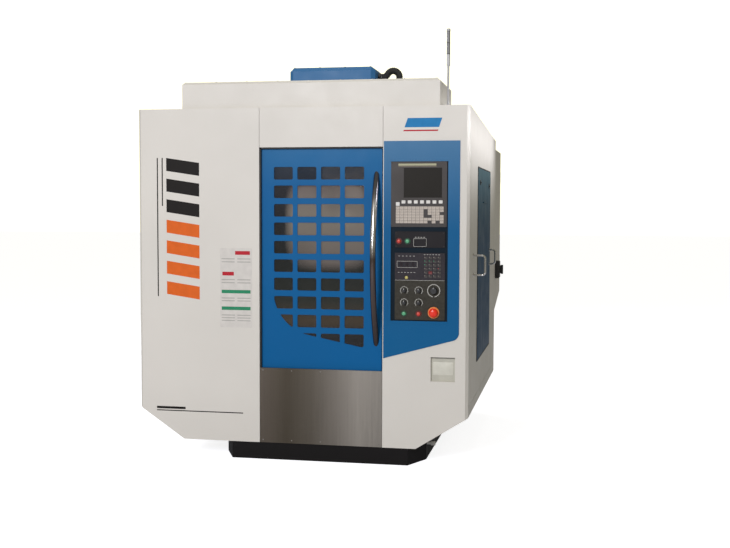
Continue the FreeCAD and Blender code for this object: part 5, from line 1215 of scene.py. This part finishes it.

# %% [markdown]
# The door slides behind the edge of the left panel and under the header. A black strip at the
# left edge and one along the top fill the gap round the door: painted shadow. The strips stop
# short of the door's face, so that it can slide past them.

# %% Door lips
opening_left = node_corners("left_front_panel")[1][0]
opening_right = node_corners("control_column")[0][0]
opening_low, opening_high = kick_high[2], node_corners("door_header")[0][2]
gap_strip_width, gap_strip_clearance, gap_strip_depth = 9.0, 1.0, 16.0
gap_strip_y = node_corners("door_panel")[0][1] - gap_strip_clearance
side_gap_strip = flat(gap_strip_width, opening_high - opening_low, gap_strip_depth, 2.0)
top_gap_strip = flat(opening_right - opening_left, gap_strip_width, gap_strip_depth, 2.0)
# Painted shadow: black strips in the gap at the door's left and top edges.
add_piece("door_lips", "conduit_rubber", rubber,
          seated(side_gap_strip, FRONT, (opening_left + gap_strip_width / 2, gap_strip_y,
                                   (opening_low + opening_high) / 2)),
          seated(top_gap_strip, FRONT, ((opening_left + opening_right) / 2, gap_strip_y,
                                  opening_high - gap_strip_width / 2)))
print("door opening", round(opening_right - opening_left), "by",
      round(opening_high - opening_low), "mm")

# %% [markdown]
# Each side of the machine has a lift-off cover. A dark frame round its edge is painted shadow
# in the gap, two quarter-turn latches hold it at the top, and a thin folded rail below them sheds
# drips. The dark frame is a rim plate, and a latch is a turned disc with a raised wing across
# it. One function sets them on both sides.

# %% Side covers
cover_front, cover_back, cover_low, cover_high = -250.0, 670.0, 548.0, 1720.0
shadow_frame_width, shadow_frame_height = 7.0, 3.0
cover_middle = ((cover_front + cover_back) / 2, (cover_low + cover_high) / 2)
cover_shadow_frame = rim_plate(cover_back - cover_front + 2 * shadow_frame_width,
                       cover_high - cover_low + 2 * shadow_frame_width, 10.0, shadow_frame_width, shadow_frame_height)
latch = joined(turning(((17.0, 0.0), (17.0, 2.0), (15.5, 3.6), (9.0, 4.4), (0.3, 4.6))),
               plate(30.0, 7.0, 3.4, ((0.0, 3.0), (0.0, 8.0), (1.0, 9.5))))
drip_rail = plate(312.0, 8.0, 2.0, ((0.0, 0.0), (0.0, 4.0), (1.5, 6.0)))
grip_foot = turning(((13.0, 0.0), (13.0, 1.6), (11.0, 3.0), (7.0, 3.4)))


def dress_cover(side, name, panel_x, cover_x):
    """Painted shadow frame, latches, drip rail and the feet of the grips on one side of the
    machine.
    """
    # Painted shadow: a dark frame round the cover's edge.
    add_piece(name + "_cover_seal", "conduit_rubber", rubber,
              seated(cover_shadow_frame, side, (panel_x, *cover_middle)))
    add_piece(name + "_latches", "black_plastic", black_plastic,
              seated(latch, side, ((cover_x, -125.0, 1634.0), (cover_x, 533.0, 1624.0))))
    # The drip rail takes the side covers' blue, with its painted shade.
    add_piece(name + "_drip_rail", "blue_paint", shaded_side_blue,
              seated(drip_rail, side, (cover_x, 232.0, 1514.0)))
    add_piece(name + "_grip_feet", "chrome", bright_steel,
              seated(grip_foot, side, ((panel_x, -510.0, 1087.0), (panel_x, -510.0, 1199.0),
                                       (cover_x, 590.0, 1101.0), (cover_x, 590.0, 1195.0))))


dress_cover(RIGHT, "right", 858.0, 862.0)
dress_cover(LEFT, "left", -1103.0, -1107.0)
print("covers dressed")

# %% [markdown]
# Dome-headed screws run along the edges of the hood, the roof and the rear panels, as they do
# wherever sheet is bolted to a frame. A row is a line of evenly spaced places.

# %% Sheet screws
dome_screw = turning(((4.5, 0.0), (4.5, 0.6), (3.8, 1.6), (2.0, 2.3), (0.3, 2.5)), 12)


def row(start, end, count):
    """Evenly spaced places from start to end."""
    return np.linspace(start, end, count)


def top_rows(node, from_ends, from_edges, count):
    """A row of places along the front edge of a node's top, and one along its rear edge."""
    low, high = node_corners(node)
    return [row((low[0] + from_ends, y, high[2]), (high[0] - from_ends, y, high[2]), count)
            for y in (low[1] + from_edges, high[1] - from_edges)]


rear_y = node_corners("roof_and_rear_panels")[1][1]
roof_places = np.vstack(top_rows("roof_hood", 20.0, 18.0, 9)
                        + top_rows("motor_cover", 30.0, 24.0, 4))
rear_columns = [(x, 330.0, 650.0, 4) for x in (-1060.0, -125.0, 815.0)]
rear_columns += [(x, 760.0, 1890.0, 9) for x in (-1060.0, -740.0)]
rear_places = np.vstack([row((x, rear_y, low), (x, rear_y, high), count)
                         for x, low, high, count in rear_columns])
add_piece("roof_screws", "ground_steel", zinc, seated(dome_screw, TOP, roof_places))
add_piece("rear_screws", "ground_steel", zinc, seated(dome_screw, REAR, rear_places))
print(len(roof_places), "roof screws and", len(rear_places), "rear screws")

# %% [markdown]
# Dark rings part the lamp column's base, lens and cap. A ring is a closed section turned about
# the column's axis.

# %% Lamp column rings
lamp_middle = node_corners("signal_lamp").mean(axis=0)
lamp_ring = turning(((9.6, -2.0), (10.6, -2.0), (10.6, 2.0), (9.6, 2.0)), closed=True)
add_piece("lamp_rings", "black_plastic", black_plastic,
          copies(lamp_ring, [(*lamp_middle[:2], z) for z in (2348.0, 2410.0, 2477.0)]))
print("lamp column at", lamp_middle.round(1))

# %% [markdown]
# A drain tap sticks out of the plinth's right flank, under the slanted corner: a pale barrel
# with a ring, and a black cap on its spindle.

# %% Drain tap
tap_place, cap_reach = np.array([595.0, -545.0, 92.0]), np.array([40.0, 0.0, 0.0])
barrel = turning(((8.0, 0.0), (8.0, 26.0), (13.0, 28.0), (13.0, 50.0), (11.0, 53.0), (8.0, 53.0),
                  (7.0, 48.0), (0.3, 48.0)))
cap = turning(((4.0, 0.0), (4.0, 20.0), (10.0, 21.0), (10.0, 30.0), (8.0, 32.0), (0.3, 32.0)))
add_piece("drain_tap", "black_plastic", plastic("tap_plastic", (0.55, 0.54, 0.50), 0.4),
          seated(barrel, RIGHT, tap_place))
add_piece("drain_tap_cap", "black_plastic", black_plastic,
          seated(cap, TOP, tap_place + cap_reach))
print("drain tap made")

# %% [markdown]
# The electrical cabinet gives off heat, so its left side has a block of pressed louvres and a
# fan outlet with a filter. A louvre is half a flattened tube: its outline is a half ellipse that
# swells from nothing at both ends. The fan's filter is a frame with bars over a dark mat.

# %% Cabinet louvres and fan
cabinet_low, cabinet_high = node_corners("electrical_cabinet")
slat_pitch, slat_count, fan_z = 32.0, 10, 1690.0


def louvre(length, width, depth):
    """A pressed slat: half ellipses across, their size following a flattened arch along."""
    reach = np.linspace(-1.0, 1.0, 17)
    swell = np.maximum(1.0 - reach ** 6, 0.02)[:, None]
    angles = np.linspace(0.0, math.pi, 9)
    across = width / 2 * np.cos(angles) * swell
    lift = depth * np.sin(angles) * swell
    return lofted(np.stack(np.broadcast_arrays(reach[:, None] * length / 2, across, lift), -1))


slat_places = [(cabinet_low[0], y, 1180.0 + slat_pitch * k)
               for y in (1360.0, 1630.0) for k in range(slat_count)]
add_piece("cabinet_louvres", "white_paint", warm_white,
          seated(louvre(240.0, 16.0, 9.0), LEFT, slat_places))
fan_place = np.array([cabinet_low[0], 1630.0, fan_z])
fan_frame = plate(190.0, 190.0, 12.0, ((0.0, 0.0), (0.0, 8.0), (3.0, 11.0), (16.0, 11.0),
                                       (18.0, 4.0), (18.0, 0.0)), closed=True)
fan_bar = plate(150.0, 4.0, 1.0, ((0.0, 2.0), (0.0, 9.0), (0.8, 10.0)))
add_piece("fan_filter", "black_plastic", black_plastic,
          seated(fan_frame, LEFT, fan_place),
          seated(fan_bar, LEFT, [raised(fan_place, rise) for rise in np.arange(-66.0, 67.0, 12.0)]))
add_piece("fan_mat", "conduit_rubber", rubber,
          seated(plate(154.0, 154.0, 3.0, ((0.0, 0.0), (0.0, 2.0))), LEFT, fan_place))
print(len(slat_places), "louvres")

# %% [markdown]
# The cabinet door closes on a seal and is locked by a flush swing handle. The handle lies level
# with the sheet, so only its outline and its key plate show, and it moves with the door.

# %% Cabinet door lock
leaf_low, leaf_high = node_corners("cabinet_door")
lock_place = np.array([leaf_low[0] + 46.0, leaf_high[1], 1370.0])
add_piece("door_lock", "black_plastic", black_plastic,
          seated(flat(34.0, 190.0, print_lift, 8.0), REAR, lock_place), body="cabinet_door")
add_piece("door_lock_lever", "chrome", bright_steel,
          seated(flat(20.0, 120.0, 0.3, 6.0), REAR, raised(lock_place, 22.0)),
          seated(turning(((8.0, 0.0), (8.0, 0.25), (7.0, 0.3), (2.0, 0.3), (1.8, 0.2))), REAR,
                 raised(lock_place, -64.0)), body="cabinet_door")
print("door lock at", lock_place.round(1))

# %% [markdown]
# Open the cabinet's door and the control gear shows: a galvanised plate on the back wall with a
# row of drives, two rails of breakers and contactors, and a strip of terminals. Slotted ducts
# run between the rows for the wires. A housing is a rounded rectangle lofted straight out of the
# plate, with a soft front edge, so that one helper makes nearly all of it, and rows are copies.

# %% Plate, rails and ducts in the cabinet
gear_x, gear_z, gear_y = (cabinet_low[0] + cabinet_high[0]) / 2, 1375.0, cabinet_low[1] + 20.0
gear_width, gear_height, plate_thickness = 1320.0, 960.0, 3.0
duct_rows, duct_height, duct_depth = (1830.0, 1390.0, 1205.0, 1015.0), 44.0, 62.0
finger_pitch, half_run, duct_edge = 16.0, gear_width * 0.47, duct_height / 2 - 2.0
finger_count = int(2 * half_run / finger_pitch)
rail_rows, rail_lift = (1297.0, 1110.0), 8.0


def housings(places, width, height, depth, base=0.0, edge=2.0):
    """Rounded blocks that stand out from the gear plate, with a soft front edge."""
    block = plate(width, height, 3.0, ((0.0, base), (0.0, depth - edge), (edge, depth)))
    return seated(block, REAR, places)


def gear_row(x_start, x_end, count, z, lift=0.0):
    """Evenly spaced places on the gear plate, counted from x_start to x_end."""
    return row((gear_x + x_start, gear_y + plate_thickness + lift, z),
               (gear_x + x_end, gear_y + plate_thickness + lift, z), count)


finger = plate(9.0, 2.4, 0.8, ((0.0, 0.0), (0.0, duct_depth - 4.0)), 2)
finger_places = np.vstack([gear_row(-half_run, half_run, finger_count, z + side)
                           for z in duct_rows for side in (-duct_edge, duct_edge)])
duct_places = np.vstack([gear_row(0.0, 0.0, 1, z) for z in duct_rows])
add_piece("gear_plate", "cover_steel", zinc,
          housings((gear_x, gear_y, gear_z), gear_width, gear_height, plate_thickness, 0.0, 0.5))
add_piece("wire_ducts", "key_rubber",
          plastic("duct_grey_plastic", (0.27, 0.28, 0.285), 0.5),
          seated(finger, REAR, finger_places),
          housings(duct_places, gear_width * 0.95, duct_height, duct_depth, duct_depth - 6.0),
          housings(duct_places, gear_width * 0.95, duct_height, 3.0, 0.0, 1.0))
add_piece("gear_rails", "ground_steel", ground_steel,
          *[housings(gear_row(0.0, 0.0, 1, z), gear_width * 0.9, width, depth)
            for z in rail_rows for width, depth in ((26.0, rail_lift), (35.0, 2.0))])
print(len(finger_places), "duct fingers")

# %% [markdown]
# The drives are tall dark housings with a paler front, a small window and a block of plugs each.
# Breakers are narrow pale modules with a black lever, contactors are wider and dark, and every
# tenth terminal is a green one for the earth wire.

# %% Drives, breakers, contactors and terminals
drive_places = gear_row(-500.0, 260.0, 6, 1610.0)
rack_place = gear_row(490.0, 490.0, 1, 1610.0)
breaker_places = gear_row(-560.0, 80.0, 33, rail_rows[0], rail_lift)
contactor_places = gear_row(170.0, 560.0, 7, rail_rows[0], rail_lift)
relay_places = gear_row(-560.0, -150.0, 15, rail_rows[1], rail_lift)
terminal_places = gear_row(-90.0, 560.0, 66, rail_rows[1], rail_lift)
earth = np.arange(len(terminal_places)) % 10 == 9
terminal_size = (8.6, 52.0, 44.0)
add_piece("servo_drives", "black_plastic",
          plastic("gear_grey_plastic", (0.10, 0.105, 0.11), 0.45),
          housings(drive_places, 122.0, 370.0, 190.0),
          housings(rack_place, 250.0, 370.0, 140.0),
          housings(contactor_places, 50.0, 92.0, 84.0))
add_piece("drive_fronts", "key_rubber",
          plastic("gear_pale_plastic", (0.48, 0.48, 0.46), 0.45),
          housings(raised(drive_places, 42.0), 96.0, 250.0, 194.0, 186.0),
          housings(raised(rack_place, 100.0), 226.0, 120.0, 144.0, 136.0),
          housings(breaker_places, 17.0, 86.0, 58.0),
          housings(relay_places, 23.0, 80.0, 52.0),
          housings(raised(contactor_places, 18.0), 38.0, 20.0, 86.0, 80.0))
add_piece("gear_plugs", "black_plastic", black_plastic,
          housings(breaker_places, 8.0, 20.0, 66.0, 56.0),
          housings(raised(drive_places, 120.0), 70.0, 26.0, 197.0, 192.0),
          *[housings(raised(drive_places, rise), 84.0, 14.0, 202.0, 188.0)
            for rise in (-110.0, -135.0, -160.0)],
          housings(raised(relay_places, 14.0), 12.0, 26.0, 56.0, 50.0))
add_piece("terminal_strip", "key_rubber", key_cream,
          housings(terminal_places[~earth], *terminal_size))
add_piece("earth_terminals", "green_plastic", green_plastic,
          housings(terminal_places[earth], *terminal_size),
          housings(rack_place + np.array([-70.0, 0.0, -60.0]), 30.0, 16.0, 148.0, 138.0))
print(len(breaker_places), "breakers,", len(terminal_places), "terminals")

# %% [markdown]
# A transformer stands below at one end: its iron core, and two windings whose ribs are the turns
# of wire. The radius of a winding is its core's plus the size of a sine along it.

# %% Transformer
coil_half, coil_core, wire_ridge, wire_pitch = 40.0, 30.0, 1.4, 5.0
coil_turns = np.linspace(-coil_half, coil_half, 81)
coil_radius = coil_core + wire_ridge * np.abs(np.sin(coil_turns * math.pi / wire_pitch))
coil_outline = [(0.3, -coil_half), *zip(coil_radius, coil_turns), (0.3, coil_half)]
core_place = gear_row(-470.0, -470.0, 1, 945.0)
add_piece("transformer_core", "motor_black", motor_black,
          *[housings(raised(core_place, rise), 190.0, 22.0, 70.0) for rise in (50.0, -50.0)],
          housings(core_place, 20.0, 100.0, 60.0))
add_piece("transformer_coils", "red_plastic",
          plastic("winding_copper", (0.42, 0.16, 0.06), 0.4),
          seated(turning(coil_outline), TOP,
                 [core_place[0] + np.array([x, 36.0, 0.0]) for x in (-48.0, 48.0)]))
print("transformer made")

# %% [markdown]
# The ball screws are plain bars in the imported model. Their thread is a surface with two
# parameters: along the bar and round it. The radius dips where the distance along, in pitches,
# meets the angle, in turns, so the groove winds round the bar as one helix.

# %% Ball screws
def ball_screw(length, radius, pitch, groove):
    """Radius = bar radius minus a rounded groove of (place / pitch - angle / full turn)."""
    place = np.arange(0.0, length + 0.01, pitch / 8.0)[:, None]
    phase = place / pitch - ring_angles / (2 * math.pi)
    radii = radius - groove * np.clip(np.cos(2 * math.pi * phase) * 1.6, 0.0, 1.0)
    return lofted(swept(radii, ring_angles, place))


bar_radius, thread_pitch, groove_depth = 16.0, 20.0, 2.2
for axis, side, direction in (("x", RIGHT, 0), ("y", INWARD, 1), ("z", TOP, 2)):
    low, high = node_corners("screw_" + axis)
    start = (low + high) / 2
    start[direction] = low[direction]
    thread = ball_screw(high[direction] - low[direction], bar_radius, thread_pitch, groove_depth)
    add_piece("ball_screw_" + axis, "ground_steel", ground_steel, seated(thread, side, start),
              body=axis + "_screw", crease=50.0, instead_of=("screw_" + axis,))
    print("ball screw", axis, "is", round(high[direction] - low[direction]), "mm long")

# %% [markdown]
# Inside the chamber a lamp tube hangs under the roof behind the door header. Jointed coolant
# hoses bend from the head down to the tool: beads carried along an arc, each a small barrel.

# %% Chamber lamp and coolant hoses
lamp_length, lamp_radius, lamp_end = 620.0, 13.0, 6.0
tube_profile = ((0.3, 0.0), (9.0, 0.0), (lamp_radius, lamp_end),
                (lamp_radius, lamp_length - lamp_end), (9.0, lamp_length), (0.3, lamp_length))
add_piece("chamber_lamp", "lamp_plastic", lamp_tube,
          seated(turning(tube_profile), RIGHT, (-lamp_length / 2, -640.0, 1925.0)))
bead_count, bead_steps, bead_radius, bead_swell, nozzle_steps = 9, 6, 6.0, 1.6, 8
nozzle_top, nozzle_drop, hose_reach, hose_swing = 1386.0, 96.0, 62.0, 48.0


def coolant_hose(angle):
    """Beads along part of an ellipse, from the head's underside in towards the tool. The bead's
    radius swells with the square of a sine, and the last steps taper to a nozzle."""
    turn = np.linspace(0.0, math.radians(62.0), bead_count * bead_steps)
    reach = hose_reach + hose_swing * np.cos(turn)
    path = np.column_stack([reach * math.cos(angle), reach * math.sin(angle),
                            nozzle_top - nozzle_drop * np.sin(turn)])
    wave = np.sin(np.linspace(0.0, bead_count * math.pi, len(turn)))
    beads = bead_radius + bead_swell * wave ** 2
    beads[-nozzle_steps:] *= np.linspace(0.9, 0.45, nozzle_steps)
    return tube(path, beads, (-math.sin(angle), math.cos(angle), 0.0), 12)


hoses = [coolant_hose(math.radians(degrees)) for degrees in (-50.0, -10.0, 40.0)]
add_piece("coolant_hoses", "conduit_rubber", plastic("hose_blue", (0.010, 0.085, 0.300), 0.35),
          *hoses, body="head", crease=70.0)
print(len(hoses), "coolant hoses")

# %% [markdown]
# The last count shows what the new pieces add, to keep the model light enough to handle.

# %% Count
print(len(made_triangles), "pieces,", sum(made_triangles.values()), "triangles")
print("heaviest:", sorted(made_triangles.items(), key=lambda item: -item[1])[:4])
